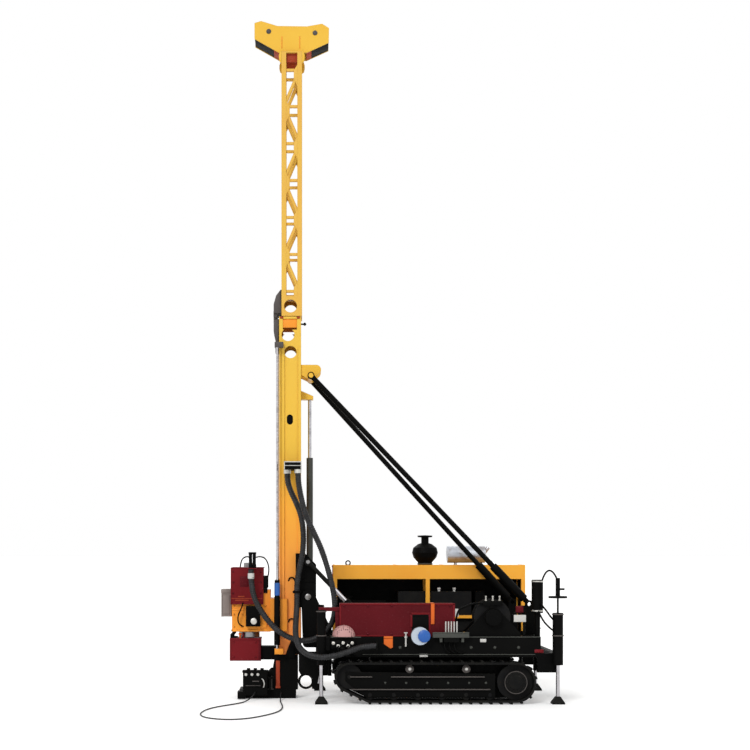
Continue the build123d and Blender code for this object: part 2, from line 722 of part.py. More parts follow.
def carriage():
    """Tilting carriage that holds the mast by its rear rails and turns on two trunnions."""
    back_front = MAST_REAR + SLIDE_GAP
    cheek_inner = MAST_HALF_WIDTH + RAIL_PROUD + SLIDE_GAP
    cheek_outer = cheek_inner + CARRIAGE_CHEEK
    lip_rear = REAR_RAIL_X - SLIDE_GAP
    lip_front = lip_rear - CARRIAGE_LIP
    back = (back_front, back_front + CARRIAGE_BACK, CARRIAGE_BOTTOM, CARRIAGE_TOP)
    pieces = [wide_block(back, cheek_outer)]
    for _, side in SIDES:
        y0, y1 = beyond(side, cheek_inner, cheek_outer)
        cheek = (
            (lip_front, CARRIAGE_BOTTOM), (CARRIAGE_REAR, CARRIAGE_BOTTOM),
            (CARRIAGE_REAR, CARRIAGE_TOP - CHEEK_CORNER), (CARRIAGE_REAR - CHEEK_CORNER, CARRIAGE_TOP),
            (lip_front, CARRIAGE_TOP),
        )
        pieces.append(plate(cheek, y0, y1))
        y0, y1 = beyond(side, MAST_HALF_WIDTH + SLIDE_GAP, cheek_inner)
        pieces.append(block(lip_front, lip_rear, y0, y1, CARRIAGE_BOTTOM, CARRIAGE_TOP))
        trunnion_end = STAND_INNER + STAND + SLIDE_GAP
        pieces.append(cross_bar(PIVOT, side * cheek_inner, side * trunnion_end, TRUNNION))
        lug_inner = SLIDE_EYE_HALF + EYE_GAP
        lug_y = (side * lug_inner, side * (lug_inner + LUG_PLATE))
        wall = back_front + CARRIAGE_BACK
        pieces.append(hull_plate(
            ((SLIDE_X, SLIDE_PIN_Z, 2 * SLIDE_PIN), (wall, SLIDE_PIN_Z, 2 * SLIDE_PIN)), *lug_y,
        ))
    pin_half = SLIDE_EYE_HALF + EYE_GAP
    pieces.append(cross_bar((SLIDE_X, SLIDE_PIN_Z), -pin_half, pin_half, SLIDE_PIN))
    x, z = HOSE_CLAMP
    half = HOSE_CLAMP_LENGTH / 2
    arm_half = HOSE_CLAMP_LENGTH
    arm_root = -cheek_inner - CARRIAGE_CHEEK / 2
    pieces.append(block(x - arm_half, x + arm_half, HOSE_Y, arm_root, z - half, z + half))
    pieces.append(post(x, HOSE_Y, z - half, z + half, HOSE_CLAMP_RADIUS))
    return joined(pieces)


def slide_barrel():
    """Barrel of the mast slide cylinder, pinned to the carriage."""
    body = post(SLIDE_X, 0, SLIDE_BARREL_BOTTOM, SLIDE_BARREL_TOP, SLIDE_BARREL)
    eye = hull_plate(
        ((SLIDE_X, SLIDE_PIN_Z, 2 * SLIDE_PIN), (SLIDE_X, SLIDE_BARREL_BOTTOM, SLIDE_PIN)),
        -SLIDE_EYE_HALF, SLIDE_EYE_HALF,
    )
    bore_bottom = SLIDE_ROD_BOTTOM - SLIDE_EYE_HALF
    body -= post(SLIDE_X, 0, bore_bottom, SLIDE_BARREL_TOP, SLIDE_ROD + PIN_GAP)
    eye -= cross_bar((SLIDE_X, SLIDE_PIN_Z), -SLIDE_EYE_HALF, SLIDE_EYE_HALF, SLIDE_PIN + PIN_GAP)
    return body + eye


def raise_line(side):
    """A raise cylinder's foot and its direction."""
    foot = Vector(RAISE_LUG[0], side * RAISE_Y, RAISE_LUG[1])
    eye = Vector(RAISE_EYE[0], side * RAISE_Y, RAISE_EYE[1])
    return foot, eye, (eye - foot).normalized()


def raise_barrels():
    """Barrels of the two raise cylinders, pinned between their deck lugs."""
    barrels = []
    for _, side in SIDES:
        foot, _, along = raise_line(side)
        y0 = foot.Y - RAISE_EYE_HALF
        y1 = foot.Y + RAISE_EYE_HALF
        neck = foot + along * RAISE_BARREL_START
        end = foot + along * RAISE_BARREL_END
        body = bar(neck, end, RAISE_BARREL) - bar(neck + along * RAISE_ROD / 2, end, RAISE_ROD + PIN_GAP)
        eye = hull_plate(((*RAISE_LUG, RAISE_EYE_RADIUS), (neck.X, neck.Z, RAISE_ROD)), y0, y1)
        hub = RAISE_EYE_HALF + EYE_GAP + LUG_PLATE
        pin = cross_bar(RAISE_LUG, foot.Y - hub, foot.Y + hub, RAISE_ROD)
        barrels += joined([body, eye, pin]).solids()
    return Compound(children=barrels)


def raise_rod(side):
    """Rod of one raise cylinder with the eye beside the carriage."""
    _, eye, along = raise_line(side)
    rod = bar(eye - along * RAISE_ROD_LENGTH, eye, RAISE_ROD)
    ring = cross_bar(RAISE_EYE, eye.Y - RAISE_EYE_HALF, eye.Y + RAISE_EYE_HALF, RAISE_EYE_RADIUS)
    return rod + ring


def lattice():
    """Folding mast top: four chords with rungs and zigzag diagonals on a sleeve."""
    bottom = MAST_JOINT
    sleeve_span = (LATTICE_FRONT, LATTICE_REAR, bottom, SLEEVE_TOP)
    inside = (LATTICE_FRONT + MAST_WALL, LATTICE_REAR - MAST_WALL, bottom + MAST_WALL, SLEEVE_TOP - MAST_WALL)
    sleeve = wide_block(sleeve_span, LATTICE_HALF_WIDTH)
    sleeve -= wide_block(inside, LATTICE_HALF_WIDTH - MAST_WALL)
    x, z, radius = SLEEVE_HOLE
    sleeve -= cross_bar((x, z), -LATTICE_HALF_WIDTH, LATTICE_HALF_WIDTH, radius)
    pieces = [sleeve]
    chord_x = (LATTICE_FRONT + CHORD / 2, LATTICE_REAR - CHORD / 2)
    chord_y = LATTICE_HALF_WIDTH - CHORD / 2
    half = CHORD / 2
    top = LATTICE_TOP - CAP_PLATE
    for _, side in SIDES:
        y = side * chord_y
        for x in chord_x:
            pieces.append(block(x - half, x + half, y - half, y + half, SLEEVE_TOP - MAST_WALL, top))
        for z in RUNGS_Z:
            pieces.append(block(*chord_x, y - RUNG / 2, y + RUNG / 2, z - RUNG / 2, z + RUNG / 2))
        for bay in range(len(RUNGS_Z) - 1):
            low_x, high_x = chord_x if bay % 2 else chord_x[::-1]
            pieces.append(bar((low_x, y, RUNGS_Z[bay]), (high_x, y, RUNGS_Z[bay + 1]), DIAGONAL))
    for x in chord_x:
        for z in RUNGS_Z:
            pieces.append(block(x - RUNG / 2, x + RUNG / 2, -chord_y, chord_y, z - RUNG / 2, z + RUNG / 2))
    pieces.append(wide_block((LATTICE_FRONT, LATTICE_REAR, top, LATTICE_TOP), LATTICE_HALF_WIDTH))
    return joined(pieces)


def fold_plate(rear, joint_end, far_end, knuckles, way):
    """Half of the fold hinge: a wedge on the mast's front, thick at the joint, with its knuckles."""
    outline = ((rear, far_end), (rear - FOLD_TIP, far_end), (FOLD_PLATE_FRONT, joint_end), (rear, joint_end))
    pieces = [plate(outline, -FOLD_HALF_WIDTH, FOLD_HALF_WIDTH)]
    for y in knuckles:
        y0 = y - KNUCKLE_HALF
        y1 = y + KNUCKLE_HALF
        pieces.append(hull_plate(
            ((FOLD_X, MAST_JOINT, KNUCKLE), (FOLD_X, MAST_JOINT + way * 2 * FOLD_SETBACK, KNUCKLE)), y0, y1,
        ))
    return joined(pieces)


def fold_lower():
    """Lower fold hinge half on the mast, with the hinge pin."""
    half = fold_plate(MAST_FRONT, MAST_JOINT - FOLD_SETBACK, FOLD_BOTTOM, KNUCKLES_LOWER, -1)
    return half + cross_bar((FOLD_X, MAST_JOINT), -FOLD_HALF_WIDTH, FOLD_HALF_WIDTH, FOLD_PIN)


def fold_upper():
    """Upper fold hinge half on the lattice, bored for the hinge pin."""
    half = fold_plate(LATTICE_FRONT, MAST_JOINT + FOLD_SETBACK, FOLD_TOP, KNUCKLES_UPPER, 1)
    return half - cross_bar((FOLD_X, MAST_JOINT), -FOLD_HALF_WIDTH, FOLD_HALF_WIDTH, FOLD_PIN + PIN_GAP)


def crown_block():
    """Two crown plates on the lattice with ribs between them and sheave pin bores."""
    pieces = []
    for _, side in SIDES:
        pieces.append(plate(CROWN_OUTLINE, side * CROWN_PLATE_Y, side * (CROWN_PLATE_Y + CROWN_PLATE)))
    high = CROWN_OUTLINE[3][1] - CHORD
    for x in CROWN_RIB_X:
        pieces.append(wide_block((x - CROWN_PLATE, x + CROWN_PLATE, LATTICE_TOP, high), CROWN_PLATE_Y))
    crown = joined(pieces)
    span = CROWN_PLATE_Y + CROWN_PLATE
    for point in SHEAVES.values():
        crown -= cross_bar(point, -span, span, SHEAVE_PIN + PIN_GAP)
    return crown


def sheave(name):
    """Grooved rope sheave with its pin."""
    point = SHEAVES[name]
    half = SHEAVE_HALF
    groove = SHEAVE_GROOVE
    profile = Polyline(
        (0, -half), (SHEAVE_RADIUS, -half), (SHEAVE_RADIUS - groove, 0), (SHEAVE_RADIUS, half), (0, half),
        close=True,
    )
    wheel = revolve(make_face(profile), axis=Axis.Y)
    boss = CROWN_PLATE_Y - EYE_GAP
    span = CROWN_PLATE_Y + CROWN_PLATE
    rim = Pos(point[0], 0, point[1]) * wheel
    hub = cross_bar(point, -boss, boss, SHEAVE_BOSS)
    return joined([rim, hub, cross_bar(point, -span, span, SHEAVE_PIN)])


def head_housing():
    """Gearbox of the drill head with the slide shoe that holds the front rails."""
    housing = wide_block((HEAD_FRONT, SHOE_FRONT, HEAD_BOTTOM, HEAD_TOP), HEAD_HALF_WIDTH)
    shoe_rear = MAST_FRONT - SLIDE_GAP
    cheek_inner = MAST_HALF_WIDTH + RAIL_PROUD + SLIDE_GAP
    cheek_outer = cheek_inner + SHOE_CHEEK
    pieces = [housing, wide_block((SHOE_FRONT, shoe_rear, SHOE_BOTTOM, SHOE_TOP), cheek_outer)]
    rail_end = FRONT_RAIL_X + RAIL_LENGTH + SLIDE_GAP
    for _, side in SIDES:
        y0, y1 = beyond(side, cheek_inner, cheek_outer)
        pieces.append(block(SHOE_FRONT, rail_end + CARRIAGE_LIP, y0, y1, SHOE_BOTTOM, SHOE_TOP))
        y0, y1 = beyond(side, MAST_HALF_WIDTH + SLIDE_GAP, cheek_inner)
        pieces.append(block(rail_end, rail_end + CARRIAGE_LIP, y0, y1, SHOE_BOTTOM, SHOE_TOP))
    head = joined(pieces)
    return head - post(DRILL_X, 0, HEAD_BOTTOM, HEAD_TOP, SPINDLE_RADIUS + PIN_GAP)


def head_guard():
    """Sheet cover over the head, open below, with an ear that carries the hose ends."""
    x0, x1, z0, z1 = GUARD
    guard = wide_block(GUARD, GUARD_HALF_WIDTH)
    inside = (x0 + GUARD_WALL, x1, z0, HEAD_TOP)
    guard -= wide_block(inside, HEAD_HALF_WIDTH)
    hollow = (x0 + GUARD_WALL, x1 - GUARD_WALL, HEAD_TOP + GUARD_WALL, z1 - GUARD_WALL)
    guard -= wide_block(hollow, GUARD_HALF_WIDTH - GUARD_WALL)
    ear = block(*GUARD_EAR_X, -GUARD_EAR_REACH, -GUARD_HALF_WIDTH, z1 - GUARD_WALL, z1)
    guard -= post(DRILL_X, 0, z0, z1, SPINDLE_RADIUS + SLIDE_GAP)
    stubs = [post(x, HOSE_HEAD[-1][1], z1, HOSE_STUB_TOP, HOSE_STUB_RADIUS) for x in HOSE_STUBS_X]
    return joined([guard, ear] + stubs)


def head_motor():
    """Hydraulic motor block on the head's near side with its round cap."""
    x0, x1, z0, z1 = MOTOR_BLOCK
    face = -HEAD_HALF_WIDTH - MOTOR_DEPTH
    body = block(x0, x1, face, -HEAD_HALF_WIDTH, z0, z1)
    return body + cross_bar(MOTOR_CAP, face - MOTOR_CAP_LENGTH, face, MOTOR_CAP_RADIUS)


def feed_barrels():
    """Feed cylinder barrels that run on the fixed rods and carry the head."""
    barrels = []
    cheek_outer = MAST_HALF_WIDTH + RAIL_PROUD + SLIDE_GAP + SHOE_CHEEK
    for _, side in SIDES:
        y = side * FEED_Y
        body = post(FEED_X, y, FEED_BARREL_BOTTOM, FEED_BARREL_TOP, FEED_BARREL)
        gland = post(FEED_X, y, FEED_BARREL_TOP, FEED_GLAND_TOP, FEED_GLAND)
        y0, y1 = beyond(side, cheek_outer, FEED_Y)
        arm = block(FEED_X - FEED_ROD, FEED_X + FEED_ROD, y0, y1, SHOE_BOTTOM, SHOE_TOP)
        barrel = joined([body, gland, arm])
        barrel -= post(FEED_X, y, FEED_BARREL_BOTTOM, FEED_GLAND_TOP, FEED_ROD + PIN_GAP)
        barrels += barrel.solids()
    return Compound(children=barrels)


def spindle():
    """Hollow drill spindle with the chuck under the head."""
    body = post(DRILL_X, 0, SPINDLE_BOTTOM, SPINDLE_TOP, SPINDLE_RADIUS)
    chuck = post(DRILL_X, 0, SPINDLE_BOTTOM, CHUCK_TOP, CHUCK_RADIUS)
    return body + chuck - post(DRILL_X, 0, SPINDLE_BOTTOM, SPINDLE_TOP, SPINDLE_BORE)


def jack_barrels():
    """Jack barrels on brackets at the deck's corners."""
    barrels = []
    for x, radius, top in JACKS.values():
        for _, side in SIDES:
            y = side * JACK_Y
            body = post(x, y, JACK_BARREL_BOTTOM, top, radius)
            half = JACK_BRACKET_HALF
            if x < DECK_FRONT:
                y0, y1 = beyond(side, DECK_HALF_WIDTH - BEAM, JACK_Y)
                arm = block(x - half, DECK_FRONT, y0, y1, CROSS_BOTTOM, DECK_TOP)
            else:
                y0, y1 = beyond(side, DECK_HALF_WIDTH, JACK_Y)
                arm = block(x - half, x + half, y0, y1, JACK_BARREL_BOTTOM, TAIL_TOP)
            barrel = (body + arm) - post(x, y, JACK_BARREL_BOTTOM, top - BELT, JACK_ROD + PIN_GAP)
            barrels += barrel.solids()
    return Compound(children=barrels)


def jack_leg(end, side):
    """Jack rod on its square foot, whose sides slope up to the rod."""
    x = JACKS[end][0]
    y = side * JACK_Y
    half = JACK_FOOT / 2
    rim = block(x - half, x + half, y - half, y + half, 0, JACK_FOOT_RIM)
    low = Pos(x, y, JACK_FOOT_RIM) * Rectangle(JACK_FOOT, JACK_FOOT)
    high = Pos(x, y, JACK_FOOT_HEIGHT) * Rectangle(JACK_FOOT_TOP, JACK_FOOT_TOP)
    return joined([rim, loft([low, high]), post(x, y, JACK_FOOT_HEIGHT, JACK_ROD_TOP, JACK_ROD)])


def canopy():
    """Power pack canopy: sheet roof with a deep fascia on posts, with a rail round its foot."""
    roof = block(PACK_FRONT, PACK_REAR, PACK_INNER, PACK_OUTER, FASCIA_BOTTOM, PACK_TOP)
    roof -= block(
        PACK_FRONT + PACK_SHEET, PACK_REAR - PACK_SHEET,
        PACK_INNER + PACK_SHEET, PACK_OUTER - PACK_SHEET, FASCIA_BOTTOM, PACK_TOP - PACK_SHEET,
    )
    pieces = [roof]
    half = POST / 2
    lines = (PACK_INNER + half, PACK_OUTER - half)
    for x in PACK_POSTS_X:
        for y in lines:
            pieces.append(block(x - half, x + half, y - half, y + half, DECK_TOP, PACK_TOP - PACK_SHEET))
    for y in lines:
        span = (PACK_POSTS_X[0], PACK_POSTS_X[-1])
        pieces.append(block(*span, y - PACK_RAIL / 2, y + PACK_RAIL / 2, PACK_SHELF, PACK_SHELF + PACK_RAIL))
    return joined(pieces)


def canopy_panels():
    """Sheet panels that close the canopy's far side and its two ends, between the posts."""
    high = FASCIA_BOTTOM
    far_line = PACK_OUTER - POST / 2
    pieces = []
    for front, rear in zip(PACK_POSTS_X, PACK_POSTS_X[1:]):
        span = (front + POST / 2, rear - POST / 2)
        pieces.append(block(*span, far_line, far_line + PACK_SHEET, PACK_SHELF + PACK_RAIL, high))
        pieces.append(block(*span, far_line, far_line + PACK_SHEET, DECK_TOP, PACK_SHELF))
    for x in (PACK_POSTS_X[0], PACK_POSTS_X[-1] - PACK_SHEET):
        pieces.append(block(x, x + PACK_SHEET, PACK_INNER + POST, PACK_OUTER - POST, DECK_TOP, high))
    return Compound(children=[solid for piece in pieces for solid in piece.solids()])


def engine():
    """Engine block inside the canopy."""
    y0 = PACK_INNER + ENGINE_SETBACK
    y1 = PACK_OUTER - ENGINE_SETBACK
    return block(*ENGINE_X, y0, y1, DECK_TOP, ENGINE_TOP)


def radiator():
    """Radiator across the canopy, behind the engine."""
    y0 = PACK_INNER + POST + SLIDE_GAP
    y1 = PACK_OUTER - POST - SLIDE_GAP
    return block(*RADIATOR, y0, y1, DECK_TOP, ENGINE_TOP)


def oil_tank():
    """Hydraulic oil tank inside the canopy's front."""
    y0 = PACK_INNER + TANK_SETBACK
    y1 = PACK_OUTER - TANK_SETBACK
    return block(*TANK_X, y0, y1, DECK_TOP, TANK_TOP)


def air_cleaner():
    """Air cleaner bowl on the canopy's roof, turned from (radius, height over the roof) points."""
    outline = Polyline(*[(radius, 0, height) for radius, height in CLEANER], close=True)
    return Pos(CLEANER_X, ROOF_Y, PACK_TOP) * revolve(make_face(outline), axis=Axis.Z)


def muffler():
    """Exhaust muffler lying on two legs over the roof, with its tail pipe."""
    front, rear = MUFFLER
    body = bar((front, ROOF_Y, MUFFLER_Z), (rear, ROOF_Y, MUFFLER_Z), MUFFLER_RADIUS)
    legs = [
        post(x, ROOF_Y, PACK_TOP, MUFFLER_Z, MUFFLER_LEG)
        for x in (front + MUFFLER_RADIUS, rear - MUFFLER_RADIUS)
    ]
    tail = bar((rear - TAILPIPE, ROOF_Y, MUFFLER_Z), (TAILPIPE_END[0], ROOF_Y, TAILPIPE_END[1]), TAILPIPE)
    return joined([body, tail] + legs)


def control_cabinet():
    """Control cabinet along the deck's near side."""
    y0 = CABINET_SETBACK - DECK_HALF_WIDTH
    return block(*CABINET_X, y0, -LANE_HALF_WIDTH - SIDE_GAP, DECK_TOP, CABINET_TOP)


def oil_filter():
    """Oil filter bowl on the deck beam's near face."""
    return cross_bar((FILTER_X, FILTER_Z), -DECK_HALF_WIDTH - FILTER_LENGTH, -DECK_HALF_WIDTH, FILTER_RADIUS)


def valve_bank():
    """Valve bank on the deck beam with its row of levers."""
    x0, x1, z0, z1 = VALVE
    outer = DECK_HALF_WIDTH + VALVE_DEPTH
    bank = block(x0, x1, -outer, -DECK_HALF_WIDTH, z0, z1)
    y = -outer + VALVE_DEPTH / 2
    return joined([bank] + [post(x, y, z1, LEVER_TOP, LEVER_RADIUS) for x in LEVERS_X])


def winch_frame():
    """Side plates of the winch with the motor on the near one."""
    x, z = WINCH
    y0, y1 = WINCH_Y
    pieces = []
    for low, high in ((y0, y0 + WINCH_PLATE), (y1 - WINCH_PLATE, y1)):
        side_plate = hull_plate(
            (
                (x, z, WINCH_CORE),
                (x - WINCH_FOOT_HALF, DECK_TOP + BELT, BELT), (x + WINCH_FOOT_HALF, DECK_TOP + BELT, BELT),
            ),
            low, high,
        )
        pieces.append(side_plate)
    for end in (-1, 1):
        foot = x + end * (WINCH_FOOT_HALF - 3 * BELT)
        foot_y = (y0 + WINCH_PLATE, y1 - WINCH_PLATE)
        pieces.append(block(foot - BELT, foot + BELT, *foot_y, DECK_TOP, DECK_TOP + BELT))
    pieces.append(cross_bar(WINCH, y0 - WINCH_MOTOR_LENGTH, y0, WINCH_MOTOR))
    return joined(pieces) - cross_bar(WINCH, y0, y1, WINCH_SHAFT + PIN_GAP)


def winch_drum():
    """Winch drum with its flanges and shaft."""
    y0, y1 = WINCH_Y
    inner = WINCH_PLATE + SLIDE_GAP
    pieces = [cross_bar(WINCH, y0 + inner, y1 - inner, WINCH_CORE)]
    for start in (y0 + inner, y1 - inner - WINCH_FLANGE_WIDTH):
        pieces.append(cross_bar(WINCH, start, start + WINCH_FLANGE_WIDTH, WINCH_FLANGE))
    pieces.append(cross_bar(WINCH, y0 + EYE_GAP, y1, WINCH_SHAFT))
    return joined(pieces)


def rear_stack():
    """Upright cylinder on a post at the deck's rear."""
    y = STACK_SETBACK - DECK_HALF_WIDTH
    body = post(STACK_X, y, STACK_BOTTOM, STACK_TOP, STACK_RADIUS)
    return body + post(STACK_X, y, DECK_TOP, STACK_BOTTOM, STACK_POST)


def hand_valve():
    """Jack valve on a stem over the near rear jack, with its handwheel and lever."""
    x, _, floor = JACKS["rear"]
    y = -JACK_Y
    return joined([
        post(x, y, floor, HANDWHEEL_Z, VALVE_STEM),
        post(x, y, HANDWHEEL_Z, HANDWHEEL_Z + HANDWHEEL_DEPTH, HANDWHEEL_RADIUS),
        post(x, y, HANDWHEEL_Z, VALVE_TOP, VALVE_BODY),
        bar((x, y, VALVE_LEVER_Z), (x + VALVE_LEVER_REACH, y, VALVE_LEVER_Z), VALVE_STEM),
    ])


def cord_tube(name, points, radius):
    """Tube along straight runs joined by arcs as large as the runs allow."""
    places = [Vector(*point) for point in points]
    radii = []
    for before, here, after in zip(places, places[1:], places[2:]):
        turn = math.radians((here - before).get_angle(after - here))
        shorter = min((here - before).length, (after - here).length)
        radii.append(ARC_SHARE * shorter / math.tan(turn / 2))
    path = FilletPolyline(*points, radius=radii)
    start = Plane(origin=points[0], z_dir=path % 0)
    tube = sweep(start * Circle(radius), path=path)
    section = math.pi * radius ** 2
    print(f"{name}: length {path.length:.0f}, tightest arc {min(radii):.0f}, "
          f"volume share {tube.volume / (section * path.length):.4f}")
    return tube


nodes = {
    "chassis_frame": chassis_frame(),
    "mast_box": mast_box(),
    "mast_foot": mast_foot(),
    "rod_clamp": rod_clamp(),
    "pedal_box": pedal_box(),
    "feed_rods": feed_rods(),
    "slide_rod": slide_rod(),
    "brace_bracket": brace_bracket(),
    "fold_hinge_lower": fold_lower(),
    "mast_carriage": carriage(),
    "slide_barrel": slide_barrel(),
    "raise_barrels": raise_barrels(),
    "mast_lattice": lattice(),
    "fold_hinge_upper": fold_upper(),
    "crown_block": crown_block(),
    "head_housing": head_housing(),
    "head_guard": head_guard(),
    "head_panel": wide_block(PANEL, PANEL_HALF_WIDTH),
    "head_motor": head_motor(),
    "feed_barrels": feed_barrels(),
    "drill_spindle": spindle(),
    "jack_barrels": jack_barrels(),
    "power_canopy": canopy(),
    "canopy_panels": canopy_panels(),
    "engine_block": engine(),
    "radiator": radiator(),
    "oil_tank": oil_tank(),
    "air_cleaner": air_cleaner(),
    "muffler": muffler(),
    "control_cabinet": control_cabinet(),
    "oil_filter": oil_filter(),
    "valve_bank": valve_bank(),
    "winch_frame": winch_frame(),
    "winch_drum": winch_drum(),
    "rear_stack": rear_stack(),
    "hand_valve": hand_valve(),
    "hose_chassis": cord_tube("hose_chassis", HOSE_CHASSIS, HOSE_RADIUS),
    "hose_carriage": cord_tube("hose_carriage", HOSE_CARRIAGE, HOSE_RADIUS),
    "hose_head": cord_tube("hose_head", HOSE_HEAD, HOSE_RADIUS),
    "ground_cable": cord_tube("ground_cable", GROUND_CABLE, CABLE_RADIUS),
}
for side_name, way in SIDES:
    nodes[f"track_loop_{side_name}"] = track_loop(way)
    nodes[f"track_wheels_{side_name}"] = track_wheels(way)
    nodes[f"track_frame_{side_name}"] = track_frame(way)
    nodes[f"brace_{side_name}"] = brace(side_name, way)
    nodes[f"raise_rod_{side_name}"] = raise_rod(way)
    for jack_end in JACKS:
        nodes[f"jack_leg_{jack_end}_{side_name}"] = jack_leg(jack_end, way)
for sheave_name in SHEAVES:
    nodes[f"sheave_{sheave_name}"] = sheave(sheave_name)

os.makedirs("parts", exist_ok=True)
for node, shape in nodes.items():
    export_step(shape, f"parts/{node}.step")
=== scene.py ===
import itertools
import math

import bmesh
import bpy
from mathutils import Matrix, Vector


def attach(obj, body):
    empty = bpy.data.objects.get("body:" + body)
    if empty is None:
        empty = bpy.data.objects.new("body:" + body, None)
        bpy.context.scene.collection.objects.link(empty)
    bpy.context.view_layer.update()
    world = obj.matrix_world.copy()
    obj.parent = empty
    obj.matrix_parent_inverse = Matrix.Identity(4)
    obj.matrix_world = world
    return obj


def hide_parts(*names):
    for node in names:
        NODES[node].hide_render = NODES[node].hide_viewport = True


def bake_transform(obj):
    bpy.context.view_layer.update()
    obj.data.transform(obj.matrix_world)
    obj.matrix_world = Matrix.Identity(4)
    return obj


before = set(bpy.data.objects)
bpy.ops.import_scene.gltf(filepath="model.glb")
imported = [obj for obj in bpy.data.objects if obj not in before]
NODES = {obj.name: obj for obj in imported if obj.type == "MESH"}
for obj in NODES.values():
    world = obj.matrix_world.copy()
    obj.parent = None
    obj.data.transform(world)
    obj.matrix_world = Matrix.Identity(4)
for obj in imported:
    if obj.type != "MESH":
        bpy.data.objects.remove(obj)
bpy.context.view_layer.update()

# Crawler core drilling rig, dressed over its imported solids. Metres, +Z up, -X to the mast,
# -Y to the control side.

SCENE = bpy.context.scene
# The sign of y on the control side and on the canopy side.
SIDES = {"near": -1, "far": 1}
WAYS = tuple(SIDES.values())


# Shader building

# Colour sockets of a Mix node: the two that it takes and the one that it gives.
MIX_A, MIX_B, MIXED = 6, 7, 2
EDGE_RADIUS = 0.009
# Radians that a Wave node turns through in a metre at a scale of 1.
WAVE_RATE = 20


def linear(hex_colour):
    """sRGB hex to the linear colour that a socket takes."""
    channels = [int(hex_colour[place:place + 2], 16) / 255 for place in (1, 3, 5)]
    bent = [c / 12.92 if c <= 0.04045 else ((c + 0.055) / 1.055) ** 2.4 for c in channels]
    return (*bent, 1.0)


def per_metre(millimetres):
    """Pattern scale for a feature of that real size, as features in a metre."""
    return 1000 / millimetres


def feed(tree, node, inputs):
    """Sets sockets of a node: to values, or to (node, output) links."""
    for key, value in inputs.items():
        if isinstance(value, tuple) and isinstance(value[0], bpy.types.Node):
            tree.links.new(value[0].outputs[value[1]], node.inputs[key])
        else:
            node.inputs[key].default_value = value


def add(tree, kind, inputs=None, **settings):
    """Adds a shader node: settings are its properties, inputs what its sockets are fed."""
    made = tree.nodes.new("ShaderNode" + kind)
    for key, value in settings.items():
        setattr(made, key, value)
    feed(tree, made, inputs or {})
    return made


def new_material(name):
    """An empty node material, its node tree, its shader and the output of the object coordinates."""
    material = bpy.data.materials.new(name)
    material.use_nodes = True
    tree = material.node_tree
    return material, tree, tree.nodes["Principled BSDF"], (add(tree, "TexCoord"), "Object")


def worn_edges(tree, place, break_up):
    """Rounded-edge normal and a patchy mask that is 1 on the outer edges."""
    rounded = add(tree, "Bevel", {"Radius": EDGE_RADIUS}, samples=4)
    flat = add(tree, "NewGeometry")
    facing = add(tree, "VectorMath", {0: (rounded, "Normal"), 1: (flat, "Normal")}, operation="DOT_PRODUCT")
    edge = add(tree, "MapRange", {"Value": (facing, "Value"), "From Min": 0.985, "From Max": 0.86})
    chips = add(tree, "TexNoise", {"Vector": place, "Scale": per_metre(break_up), "Detail": 5.0, "Roughness": 0.7})
    patchy = add(tree, "MapRange", {"Value": (chips, "Fac"), "From Min": 0.5, "From Max": 0.62})
    mask = add(tree, "Math", {0: (edge, "Result"), 1: (patchy, "Result")}, operation="MULTIPLY")
    return rounded, mask


